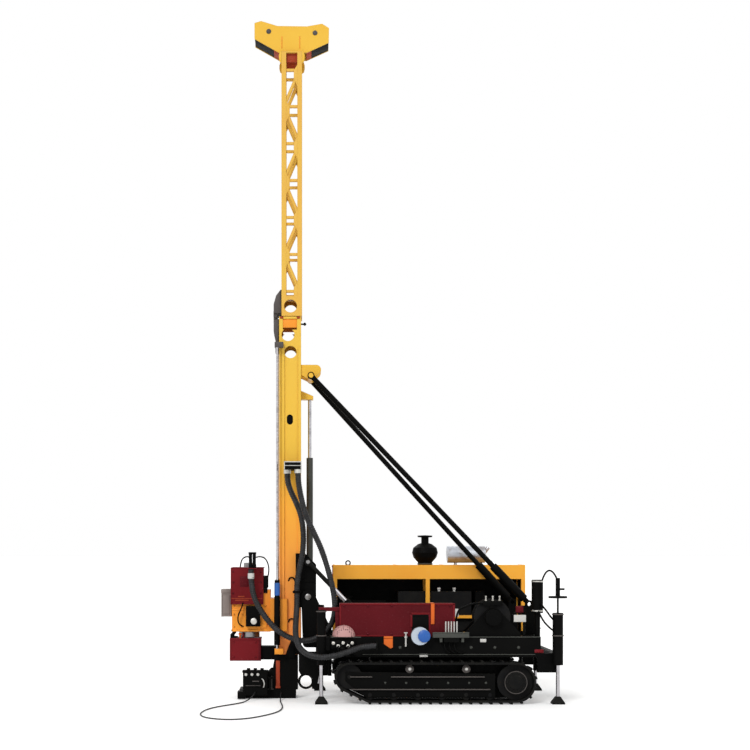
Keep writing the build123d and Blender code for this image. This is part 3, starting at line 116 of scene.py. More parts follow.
def sprayed_enamel(name, colours, chip, dust, roughness, shine, heights=None, flecks=0.12):
    """Alkyd enamel sprayed on plate steel: a soft gloss with faint orange peel, slow drifts from one
    shade to the next, dust on what faces up, dried mud flecks and chips along the edges. With
    heights, the colours follow each other up the part, which serves as painted shade that changes with height."""
    material, tree, shader, place = new_material(name)
    drift = add(tree, "TexNoise", {"Vector": place, "Scale": per_metre(700), "Detail": 4.0})
    wander = add(tree, "MapRange", {"Value": (drift, "Fac"), "From Min": 0.35, "From Max": 0.7})
    if heights:
        spot = add(tree, "SeparateXYZ", {0: place})
        wander = add(tree, "MapRange", {"Value": (spot, "Z"), "From Min": heights[0], "From Max": heights[-1]})
        places = [(height - heights[0]) / (heights[-1] - heights[0]) for height in heights]
    else:
        places = [step / (len(colours) - 1) for step in range(len(colours))]
    shade = add(tree, "ValToRGB", {"Fac": (wander, "Result")})
    stops = shade.color_ramp.elements
    while len(stops) < len(colours):
        stops.new(1.0)
    for stop, position, colour in zip(stops, places, colours):
        stop.position = position
        stop.color = linear(colour)
    # Road dust lies in blots of about 60 mm on upper faces; mud dries in flecks of about 22 mm.
    upward = add(tree, "SeparateXYZ", {0: (place[0], "Normal")})
    blots = add(tree, "TexNoise", {"Vector": place, "Scale": per_metre(60), "Detail": 6.0})
    lying = add(tree, "MapRange", {"Value": (upward, "Z"), "From Min": 0.3, "From Max": 1.0, "To Max": 0.45})
    dusty = add(tree, "Math", {0: (lying, "Result"), 1: (blots, "Fac")}, operation="MULTIPLY")
    splash = add(tree, "TexNoise", {"Vector": place, "Scale": per_metre(22), "Detail": 3.0})
    splash = add(tree, "MapRange", {"Value": (splash, "Fac"), "From Min": 0.6, "From Max": 0.72, "To Max": flecks})
    soiled = add(tree, "Math", {0: (dusty, "Value"), 1: (splash, "Result")}, operation="MAXIMUM")
    dusted = add(tree, "Mix", {0: (soiled, "Value"), MIX_A: (shade, "Color"), MIX_B: linear(dust)}, data_type="RGBA")
    rounded, mask = worn_edges(tree, place, 34)
    worn = add(tree, "Mix", {0: (mask, "Value"), MIX_A: (dusted, MIXED), MIX_B: linear(chip)}, data_type="RGBA")
    gloss = add(tree, "MapRange", {
        "Value": (blots, "Fac"), "From Min": 0.3, "From Max": 0.7,
        "To Min": roughness - 0.06, "To Max": roughness + 0.1,
    })
    # Orange peel is about 2 mm across; it is drawn at 7 mm so that it shows at all.
    peel = add(tree, "TexNoise", {"Vector": place, "Scale": per_metre(7), "Detail": 2.0})
    bump = add(tree, "Bump", {
        "Strength": 0.08, "Distance": 0.001, "Height": (peel, "Fac"), "Normal": (rounded, "Normal"),
    })
    feed(tree, shader, {
        "Base Color": (worn, MIXED), "Roughness": (gloss, "Result"), "Normal": (bump, "Normal"),
        "Specular IOR Level": shine,
    })
    return material


def turned_steel(name, colour, stain, roughness, groove):
    """Steel turned or ground on a machine: bright, with fine marks round or along it and a thin oil stain."""
    material, tree, shader, place = new_material(name)
    blotch = add(tree, "TexNoise", {"Vector": place, "Scale": per_metre(120), "Detail": 5.0})
    stained = add(tree, "MapRange", {"Value": (blotch, "Fac"), "From Min": 0.48, "From Max": 0.75})
    shade = add(tree, "Mix", {0: (stained, "Result"), MIX_A: linear(colour), MIX_B: linear(stain)}, data_type="RGBA")
    # Tool marks of under a millimetre, drawn at the given spacing so that they show.
    marks = add(tree, "TexWave", {
        "Vector": place, "Scale": per_metre(groove) / WAVE_RATE, "Distortion": 2.0, "Detail": 2.0,
    }, bands_direction="Z")
    gloss = add(tree, "MapRange", {"Value": (marks, "Fac"), "To Min": roughness, "To Max": roughness + 0.12})
    feed(tree, shader, {"Base Color": (shade, MIXED), "Metallic": 1.0, "Roughness": (gloss, "Result")})
    return material


def cast_surface(name, colour, dust, edge_wear_and_highlight, grain, roughness, shine):
    """Sand-cast or forged iron: grainy dark skin, dust in its hollows, edges worn bright and on the track also
    painted highlight.
    """
    material, tree, shader, place = new_material(name)
    patches = add(tree, "TexNoise", {"Vector": place, "Scale": per_metre(180), "Detail": 6.0})
    patches = add(tree, "MapRange", {"Value": (patches, "Fac"), "From Min": 0.42, "From Max": 0.72})
    shade = add(tree, "Mix", {0: (patches, "Result"), MIX_A: linear(colour), MIX_B: linear(dust)}, data_type="RGBA")
    rounded, mask = worn_edges(tree, place, 26)
    worn = add(tree, "Mix", {0: (mask, "Value"), MIX_A: (shade, MIXED), MIX_B: linear(edge_wear_and_highlight)}, data_type="RGBA")
    skin = add(tree, "TexNoise", {"Vector": place, "Scale": per_metre(grain), "Detail": 4.0})
    bump = add(tree, "Bump", {
        "Strength": 0.35, "Distance": 0.002, "Height": (skin, "Fac"), "Normal": (rounded, "Normal"),
    })
    gloss = add(tree, "MapRange", {"Value": (skin, "Fac"), "To Min": roughness - 0.08, "To Max": roughness + 0.12})
    feed(tree, shader, {
        "Base Color": (worn, MIXED), "Roughness": (gloss, "Result"), "Normal": (bump, "Normal"),
        "Specular IOR Level": shine,
    })
    return material


def braided_rubber(name, colour, scuffed, thread):
    """Rubber hose in a woven nylon sleeve: dull black with a fine crossed weave and grey scuffs."""
    material, tree, shader, place = new_material(name)
    scuffs = add(tree, "TexNoise", {"Vector": place, "Scale": per_metre(90), "Detail": 7.0})
    scuffs = add(tree, "MapRange", {"Value": (scuffs, "Fac"), "From Min": 0.45, "From Max": 0.75})
    weave = add(tree, "TexVoronoi", {"Vector": place, "Scale": per_metre(thread)})
    amount = add(tree, "Math", {0: (scuffs, "Result"), 1: (weave, "Distance")}, operation="MULTIPLY")
    shade = add(tree, "Mix", {0: (amount, "Value"), MIX_A: linear(colour), MIX_B: linear(scuffed)}, data_type="RGBA")
    bump = add(tree, "Bump", {"Strength": 0.4, "Distance": 0.002, "Height": (weave, "Distance")})
    gloss = add(tree, "MapRange", {"Value": (scuffs, "Result"), "To Min": 0.45, "To Max": 0.65})
    feed(tree, shader, {
        "Base Color": (shade, MIXED), "Roughness": (gloss, "Result"), "Normal": (bump, "Normal"),
        "Specular IOR Level": 0.3,
    })
    return material


def perforated_sheet(name, colour, hole_shade, spacing):
    """Thin sheet punched with round holes, drawn as rows of small dark dots over the paint: painted shade in the
    holes.
    """
    material, tree, shader, place = new_material(name)
    cells = add(tree, "TexVoronoi", {"Vector": place, "Scale": per_metre(spacing), "Randomness": 0.25})
    dots = add(tree, "MapRange", {
        "Value": (cells, "Distance"), "From Min": 0.3, "From Max": 0.38, "To Min": 1.0, "To Max": 0.0,
    })
    grime = add(tree, "TexNoise", {"Vector": place, "Scale": per_metre(50), "Detail": 5.0})
    shade = add(tree, "Mix", {0: (dots, "Result"), MIX_A: linear(colour), MIX_B: linear(hole_shade)}, data_type="RGBA")
    gloss = add(tree, "MapRange", {"Value": (grime, "Fac"), "To Min": 0.4, "To Max": 0.65})
    bump = add(tree, "Bump", {"Strength": 0.6, "Distance": 0.003, "Height": (dots, "Result")}, invert=True)
    feed(tree, shader, {
        "Base Color": (shade, MIXED), "Roughness": (gloss, "Result"), "Normal": (bump, "Normal"),
    })
    return material


# Finishes

YELLOW = sprayed_enamel("enamel_sprayed_yellow", ("#E2B43E", "#DFAE3A"), "#8A6A2A", "#D8BC74", 0.42, 0.2)
LATTICE_PAINT = sprayed_enamel("enamel_sprayed_lattice", ("#DBB048", "#D9A84A"), "#A87838", "#D8BC84", 0.42, 0.2)
# The mast runs from orange at the foot to yellow at the top: painted shade, deeper and more orange low down.
MAST_PAINT_AND_SHADE = sprayed_enamel(
    "enamel_sprayed_mast_and_shade", ("#EE8C44", "#F29440", "#F1AA38", "#E2B53F", "#E0B645"),
    "#A8743A", "#CDB08A", 0.42, 0.2, heights=(0.65, 1.4, 2.9, 3.7, 5.6))
ORANGE = sprayed_enamel("enamel_sprayed_orange", ("#EE9830", "#E98E2C"), "#7A4A20", "#CDA880", 0.42, 0.2)
AMBER = sprayed_enamel("enamel_sprayed_amber", ("#F6B03C", "#F3A436"), "#7A4A20", "#CDB08A", 0.42, 0.2)
MAROON = sprayed_enamel(
    "enamel_sprayed_maroon", ("#5A141B", "#4E1016"), "#8A3440", "#744448", 0.48, 0.06, flecks=0.28)
CRIMSON = sprayed_enamel(
    "enamel_sprayed_crimson", ("#701A20", "#641519"), "#93404A", "#7E4A4C", 0.48, 0.06, flecks=0.15)
BLACK = sprayed_enamel("enamel_sprayed_black", ("#060606", "#0A0A09"), "#2E2C29", "#191816", 0.5, 0.04)
SLATE = sprayed_enamel("enamel_sprayed_slate", ("#3E403C", "#464743"), "#1E1D1C", "#55524E", 0.46, 0.15)
GREY = sprayed_enamel("enamel_sprayed_grey", ("#857A75", "#7A706B"), "#4A4642", "#A8A095", 0.5, 0.2)
IRON_GREY = sprayed_enamel("enamel_sprayed_iron_grey", ("#55504E", "#4A4644"), "#2E2B28", "#8A8278", 0.48, 0.15)
BLUE = sprayed_enamel("enamel_sprayed_blue", ("#2458AE", "#2B5A98"), "#24324A", "#8FA2BC", 0.38, 0.3)
FILTER_PAINT = sprayed_enamel(
    "enamel_sprayed_filter", ("#AEBBC8", "#B9BEC6"), "#5A6470", "#8FA2BC", 0.42, 0.2, flecks=0.3)
PRIMER = sprayed_enamel("primer_brushed_red", ("#A8462C", "#923822"), "#3A2420", "#A07060", 0.55, 0.1, flecks=0.3)
SIGNAL_ORANGE = sprayed_enamel(
    "enamel_sprayed_signal_orange", ("#D86A28", "#CC5E22"), "#5A2A18", "#B08870", 0.45, 0.15)
PALE = sprayed_enamel(
    "enamel_sprayed_pale_grey", ("#C6C5C1", "#B9B7B2"), "#77746F", "#9A958C", 0.45, 0.25, flecks=0.2)
CHROME = turned_steel("hard_chrome_ground", "#C4C2C6", "#979496", 0.16, 9)
STEEL = turned_steel("steel_turned", "#8F8E8E", "#66625E", 0.3, 14)
ZINC = turned_steel("steel_zinc_plated", "#C2C0BA", "#908C84", 0.36, 20)
BRASS = turned_steel("brass_turned", "#B58A44", "#7A5A2C", 0.3, 12)
ALUMINISED = turned_steel("aluminised_steel_rolled", "#B9BDC4", "#8E7F76", 0.34, 60)
CAST_IRON = cast_surface("iron_sand_cast", "#0D0D0E", "#181715", "#3A3734", 8, 0.55, 0.1)
# The track's bright edge colour is partly wear and partly painted highlight on the lugs.
TRACK = cast_surface("track_steel_forged", "#080808", "#141310", "#3E3B37", 12, 0.6, 0.1)
HOSE = braided_rubber("rubber_hose_braided", "#141415", "#3C3C40", 6)
# The punched holes are drawn as dark dots: painted shade in the holes.
MESH_GUARD = perforated_sheet("steel_sheet_punched", "#B88A86", "#4A2626", 30)


def parted_finish(name, axis, border, below, above):
    """One finish up to a border along an axis and another past it, as on a rod with its painted end."""
    material, tree, shader, place = new_material(name)
    spot = add(tree, "SeparateXYZ", {0: place})
    past = add(tree, "Math", {0: (spot, axis), 1: border}, operation="GREATER_THAN")
    grain = add(tree, "TexNoise", {"Vector": place, "Scale": per_metre(60), "Detail": 5.0})
    shades = [
        add(tree, "Mix", {0: (grain, "Fac"), MIX_A: linear(colour), MIX_B: linear(stain)}, data_type="RGBA")
        for colour, stain, _, _ in (below, above)
    ]
    shade = add(tree, "Mix", {0: (past, "Value"), MIX_A: (shades[0], MIXED), MIX_B: (shades[1], MIXED)},
                data_type="RGBA")
    metal, rough = (
        add(tree, "MapRange", {"Value": (past, "Value"), "To Min": low, "To Max": high})
        for low, high in zip(below[2:], above[2:])
    )
    feed(tree, shader, {
        "Base Color": (shade, MIXED), "Metallic": (metal, "Result"), "Roughness": (rough, "Result"),
        "Specular IOR Level": 0.1,
    })
    return material


# Colour, stain, metallic and roughness of a black painted end and of the ground chrome.
PAINTED_END = ("#060606", "#14130F", 0.0, 0.5)
GROUND_CHROME = ("#C4C2C6", "#979496", 1.0, 0.2)
JACK_LEG = parted_finish("hard_chrome_leg_painted_foot", "Z", 0.108, PAINTED_END, GROUND_CHROME)
RAISE_ROD = parted_finish("hard_chrome_rod_painted_end", "X", -1.44, PAINTED_END, GROUND_CHROME)

FINISH_NODES = {
    BLACK: (
        "chassis_frame", "jack_barrels", "raise_barrels", "canopy_panels", "radiator", "oil_tank", "air_cleaner",
        "valve_bank", "winch_frame", "rear_stack", "hand_valve", "mast_carriage", "mast_foot", "pedal_box",
        "head_motor", "feed_barrels", "track_frame_near", "track_frame_far", "brace_near", "brace_far",
    ),
    CAST_IRON: (
        "engine_block", "sheave_front", "sheave_rear", "winch_drum", "track_wheels_near", "track_wheels_far",
    ),
    TRACK: ("track_loop_near", "track_loop_far"), IRON_GREY: ("fold_hinge_lower", "fold_hinge_upper"),
    AMBER: ("power_canopy",), MAROON: ("control_cabinet",), CRIMSON: ("rod_clamp", "head_guard"),
    ORANGE: ("head_housing",), MAST_PAINT_AND_SHADE: ("mast_box",), LATTICE_PAINT: ("mast_lattice",),
    YELLOW: ("brace_bracket", "crown_block"), GREY: ("head_panel",), SLATE: ("slide_barrel",),
    FILTER_PAINT: ("oil_filter",), ALUMINISED: ("muffler",), STEEL: ("drill_spindle",),
    CHROME: ("feed_rods", "slide_rod"), RAISE_ROD: ("raise_rod_near", "raise_rod_far"),
    JACK_LEG: tuple(f"jack_leg_{end}_{side}" for end in ("front", "rear") for side in SIDES),
}
for finish, names in FINISH_NODES.items():
    for name in names:
        NODES[name].data.materials.clear()
        NODES[name].data.materials.append(finish)


# Mesh building

SMOOTH_UNDER = math.radians(34)
BLOCK_EASE, PLATE_EASE, EASE_STEPS, ROUND = 0.005, 0.003, 2, 0.5
THIN_EASE = 0.3
TURNED_SIDES = 24


def piece(name, mesh, finish, body):
    """A finished bmesh as an object that rides on a body, smooth except over its sharp edges."""
    data = bpy.data.meshes.new(name)
    bmesh.ops.recalc_face_normals(mesh, faces=mesh.faces)
    mesh.to_mesh(data)
    mesh.free()
    data.polygons.foreach_set("use_smooth", [True] * len(data.polygons))
    data.set_sharp_from_angle(angle=SMOOTH_UNDER)
    made = bpy.data.objects.new(name, data)
    SCENE.collection.objects.link(made)
    data.materials.append(finish)
    if body:
        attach(made, body)
    return made


def ease_edges(mesh, edges, ease):
    """Rounds edges over by a small radius."""
    bmesh.ops.bevel(mesh, geom=list(edges), offset=ease, segments=EASE_STEPS, affect="EDGES", profile=ROUND)


def eased_block(mesh, low, high):
    """Block between two corners with its edges eased, by less where it is thin."""
    verts = bmesh.ops.create_cube(mesh, size=1.0)["verts"]
    for vert in verts:
        vert.co = Vector([a + (c + 0.5) * (b - a) for a, b, c in zip(low, high, vert.co)])
    edges = {edge for vert in verts for edge in vert.link_edges}
    ease_edges(mesh, edges, min(BLOCK_EASE, *[(b - a) * THIN_EASE for a, b in zip(low, high)]))


def cut_plate(mesh, y0, y1, outline):
    """Plate cut from an (x, z) outline, its rims eased."""
    front = [mesh.verts.new((x, y0, z)) for x, z in outline]
    back = [mesh.verts.new((x, y1, z)) for x, z in outline]
    faces = [mesh.faces.new(front), mesh.faces.new(back[::-1])]
    for index in range(len(outline)):
        follow = (index + 1) % len(outline)
        mesh.faces.new((front[follow], front[index], back[index], back[follow]))
    rims = {edge for face in faces for edge in face.edges}
    ease_edges(mesh, rims, PLATE_EASE)


def turn_piece(mesh, base, axis, profile, sides=TURNED_SIDES):
    """Solid turned on an axis from a base point: (radius, height) steps from end to end."""
    axis = Vector(axis).normalized()
    across = axis.orthogonal().normalized()
    up = axis.cross(across)
    rings = []
    for radius, height in profile:
        centre = Vector(base) + axis * height
        if radius == 0:
            rings.append([mesh.verts.new(centre)])
            continue
        turns = [2 * math.pi * step / sides for step in range(sides)]
        rings.append([
            mesh.verts.new(centre + across * radius * math.cos(turn) + up * radius * math.sin(turn))
            for turn in turns
        ])
    for before, after in zip(rings, rings[1:]):
        for step in range(sides):
            follow = (step + 1) % sides
            corners = [before[step % len(before)], before[follow % len(before)],
                       after[follow % len(after)], after[step % len(after)]]
            mesh.faces.new(list(dict.fromkeys(corners)))
    for ring in (rings[0], rings[-1]):
        if len(ring) > 1:
            mesh.faces.new(ring)


def route_points(points, step):
    """Points read along the smooth NURBS line of a route, about a step apart."""
    curve = bpy.data.curves.new("route", "CURVE")
    curve.dimensions = "3D"
    spline = curve.splines.new("NURBS")
    spline.points.add(len(points) - 1)
    for control, point in zip(spline.points, points):
        control.co = (*point, 1.0)
    spline.order_u = 3
    spline.use_endpoint_u = True
    run = sum(math.dist(a, b) for a, b in zip(points, points[1:]))
    curve.resolution_u = max(4, round(run / len(points) / step))
    holder = bpy.data.objects.new("route", curve)
    read = bpy.data.meshes.new_from_object(holder)
    line = [vertex.co.copy() for vertex in read.vertices]
    bpy.data.objects.remove(holder)
    bpy.data.curves.remove(curve)
    bpy.data.meshes.remove(read)
    return line


def tube_rings(mesh, line, radius_at, sides):
    """Rings of vertices round a line, turned as little as possible from one to the next."""
    along = (line[1] - line[0]).normalized()
    across = along.orthogonal().normalized()
    rings = []
    run = 0.0
    for index, point in enumerate(line):
        ahead = line[min(index + 1, len(line) - 1)] - line[max(index - 1, 0)]
        ahead.normalize()
        across = (across - ahead * across.dot(ahead)).normalized()
        up = ahead.cross(across)
        if index:
            run += (point - line[index - 1]).length
        ring = []
        for step in range(sides):
            turn = 2 * math.pi * step / sides
            reach = radius_at(run, turn)
            ring.append(mesh.verts.new(point + across * reach * math.cos(turn) + up * reach * math.sin(turn)))
        rings.append(ring)
    for before, after in zip(rings, rings[1:]):
        for step in range(sides):
            follow = (step + 1) % sides
            mesh.faces.new((before[step], before[follow], after[follow], after[step]))
    mesh.faces.new(rings[0])
    mesh.faces.new(rings[-1][::-1])


# Camera, light and floor

# Picture width and how far the view is moved right and up, in pixels.
IMAGE, VIEW_SHIFT = 750, (70, 175)
# The eye and the width that it takes in at the rig, in metres; the film's width in millimetres.
EYE, FRAME_WIDTH, SENSOR = (-1.866, -21.5, 2.2), 11.25, 36.0
camera_data = bpy.data.cameras.new("camera")
camera_data.sensor_width = SENSOR
camera_data.lens = SENSOR * -EYE[1] / FRAME_WIDTH
camera_data.shift_x, camera_data.shift_y = (shift / IMAGE for shift in VIEW_SHIFT)
camera = bpy.data.objects.new("camera", camera_data)
camera.location = EYE
camera.rotation_euler = (math.radians(90), 0, 0)
SCENE.collection.objects.link(camera)
SCENE.camera = camera
SCENE.view_settings.view_transform = "Standard"

WORLD_LIGHT, FLOOR_GLOW = 0.58, 0.22
WHITE = (1.0, 1.0, 1.0, 1.0)
# Name, the way that it shines, strength and softness in degrees.
LAMPS = (("key_sun", (0.34, 0.74, -0.58), 1.5, 18), ("fill_sun", (-0.62, 0.55, -0.56), 0.5, 30),
         ("back_sun", (0.2, -0.7, -0.69), 0.6, 30))


def looked_at(tree):
    """The light paths, and a value that is 1 on those from the camera or a mirror."""
    rays = add(tree, "LightPath")
    return rays, add(tree, "Math", {0: (rays, "Is Camera Ray"), 1: (rays, "Is Glossy Ray")}, operation="MAXIMUM")


SCENE.world = bpy.data.worlds.new("studio")
SCENE.world.use_nodes = True
tree = SCENE.world.node_tree
rays, seen = looked_at(tree)
seen = add(tree, "Math", {0: (seen, "Value"), 1: (rays, "Is Transmission Ray")}, operation="MAXIMUM")
level = add(tree, "MapRange", {"Value": (seen, "Value"), "To Min": WORLD_LIGHT})
feed(tree, tree.nodes["Background"], {"Color": WHITE, "Strength": (level, "Result")})
for name, aim, strength, soft in LAMPS:
    lamp = bpy.data.lights.new(name, "SUN")
    lamp.energy = strength
    lamp.angle = math.radians(soft)
    holder = bpy.data.objects.new(name, lamp)
    holder.rotation_euler = Vector(aim).to_track_quat("-Z", "Y").to_euler()
    SCENE.collection.objects.link(holder)

FLOOR_HALF, FLOOR_DROP = 400.0, 0.001
floor_mesh = bmesh.new()
bmesh.ops.create_grid(floor_mesh, x_segments=2, y_segments=2, size=FLOOR_HALF)
floor_data = bpy.data.meshes.new("floor")
floor_mesh.to_mesh(floor_data)
floor_mesh.free()
floor = bpy.data.objects.new("floor", floor_data)
floor.location = (0, 0, -FLOOR_DROP)
SCENE.collection.objects.link(floor)
# White studio sweep: matt, and lifted to white where the camera or a mirror sees it.
sweep_white, tree, shader, _ = new_material("paper_sweep_white")
_, seen = looked_at(tree)
lift = add(tree, "MapRange", {"Value": (seen, "Value"), "To Max": FLOOR_GLOW})
feed(tree, shader, {
    "Base Color": linear("#F4F4F3"), "Roughness": 0.9, "Emission Color": WHITE, "Emission Strength": (lift, "Result"),
})
floor_data.materials.append(sweep_white)


# Hoses and the ground cable

HOSE_DIAMETER, CABLE_DIAMETER = 0.086, 0.018
HOSE_SIDES, CABLE_SIDES, CABLE_STEP, CABLE_LIES = 20, 12, 0.03, 0.01
# The wound strip of the hose guard: its pitch, half the gap as a share of that, and the share of the radius in it.
HOSE_RIB, GAP_HALF, GAP_DEPTH = 0.034, 0.19, 0.87
RIB_STEPS = 6
# Diameter, length and route of each.
CORDS = {
    "hose_chassis": (HOSE_DIAMETER, 2.192, (
        (-0.85, -1.1, 0.835), (-1.03, -1.1, 0.835), (-1.24, -1.115, 0.755), (-1.44, -1.145, 0.692),
        (-1.64, -1.17, 0.672), (-1.825, -1.125, 0.705), (-1.95, -1.01, 0.8), (-2.0, -0.85, 0.94),
        (-2.003, -0.68, 1.085), (-1.995, -0.54, 1.225), (-1.985, -0.465, 1.37), (-1.985, -0.45, 1.48),
        (-1.985, -0.45, 1.567))),
    "hose_carriage": (HOSE_DIAMETER, 1.826, (
        (-1.985, -0.45, 1.603), (-1.985, -0.45, 1.74), (-1.945, -0.454, 1.93), (-1.9, -0.462, 2.15),
        (-1.884, -0.47, 2.41), (-1.915, -0.476, 2.69), (-1.995, -0.48, 2.9), (-2.085, -0.48, 3.08),
        (-2.125, -0.48, 3.23), (-2.125, -0.48, 3.38))),
    "hose_head": (HOSE_DIAMETER, 4.299, (
        (-1.97, -0.59, 3.38), (-1.97, -0.59, 3.24), (-1.932, -0.592, 3.0), (-1.857, -0.594, 2.7),
        (-1.735, -0.597, 2.45), (-1.615, -0.599, 2.19), (-1.495, -0.6, 1.8), (-1.422, -0.6, 1.44),
        (-1.45, -0.598, 1.15), (-1.61, -0.592, 0.95), (-1.84, -0.582, 0.862), (-2.09, -0.562, 0.91),
        (-2.29, -0.532, 1.035), (-2.48, -0.494, 1.25), (-2.62, -0.455, 1.5), (-2.66, -0.415, 1.76),
        (-2.66, -0.415, 1.924))),
    "ground_cable": (CABLE_DIAMETER, 5.896, (
        (-2.6, -0.426, 0.11), (-2.6, -0.5, 0.11), (-2.65, -0.62, 0.048), (-2.72, -0.79, 0.011),
        *((x, y, CABLE_LIES) for x, y in (
            (-2.822, -1.05), (-2.97, -1.27), (-3.11, -1.51), (-3.2, -1.75), (-3.25, -2.01), (-3.27, -2.26),
            (-3.255, -2.48), (-3.19, -2.72), (-3.05, -2.9), (-2.861, -2.99), (-2.69, -2.93), (-2.56, -2.8),
            (-2.45, -2.62), (-2.36, -2.44), (-2.27, -2.22), (-2.215, -2.0), (-2.185, -1.74), (-2.18, -1.46),
            (-2.195, -1.15), (-2.215, -0.88),
        )),
        (-2.225, -0.7, 0.011), (-2.225, -0.56, 0.03), (-2.222, -0.43, 0.08), (-2.222, -0.33, 0.095),
        (-2.222, -0.24, 0.095))),
}
# Two bodies that each hose runs between, and a line between its ends; the script only reads which hoses are listed,
# and leaves their meshes on no body.
HOSE_BENDS = {
    "hose_chassis": ("chassis", "carriage", (-0.85, -1.1, 0.835), (-1.985, -0.45, 1.567)),
    "hose_carriage": ("carriage", "mast", (-1.985, -0.45, 1.603), (-2.125, -0.48, 3.38)),
    "hose_head": ("mast", "head", (-1.97, -0.59, 3.38), (-2.23, -0.59, 3.453)),
}


def hose_reach(diameter):
    """Radius of a hose in its spiral guard: a wound strip stands a little over the gaps between turns."""
    def reach(run, turn):
        wound = (run / HOSE_RIB + turn / (2 * math.pi)) % 1.0
        edge = min(wound, 1.0 - wound)
        return diameter / 2 * (1.0 if edge > GAP_HALF else GAP_DEPTH)
    return reach


for name, (diameter, length, route) in CORDS.items():
    mesh = bmesh.new()
    if diameter == HOSE_DIAMETER:
        line = route_points(route, HOSE_RIB / RIB_STEPS)
        tube_rings(mesh, line, hose_reach(diameter), HOSE_SIDES)
    else:
        line = route_points(route, CABLE_STEP)
        tube_rings(mesh, line, lambda run, turn: CABLE_DIAMETER / 2, CABLE_SIDES)
    bend = HOSE_BENDS.get(name)
    cord = piece(name + "_sleeve", mesh, HOSE, None if bend else "mast")
    if bend:
        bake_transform(cord)
    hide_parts(name)


# Detail pieces. Each table row is a piece: its name, body and finish, then the shapes it is made of.

NEAR, FAR, UP, REAR = (0, -1, 0), (0, 1, 0), (0, 0, 1), (1, 0, 0)
DECK_FACE, DECK_TOP = -0.918, 0.955
HUB_X, HUB_Z, HUB_BOLTS, HUB_BOLT_RING = 1.14, 0.31, 10, 0.128
ROLLER_XS, ROLLER_Z = (-0.37, 0.44), 0.5


def paired_blocks(middle, half, *spans):
    """Blocks on both sides, a half thickness either way of a middle y: (x0, x1, z0, z1) spans."""
    return tuple(
        ((x0, way * middle - half, z0), (x1, way * middle + half, z1)) for way in WAYS for x0, x1, z0, z1 in spans)


def paired_plates(middle, half, *outlines):
    """Plates of the same outlines on both sides, a half thickness either way of a middle y."""
    return tuple((way * middle - half, way * middle + half, outline) for way in WAYS for outline in outlines)


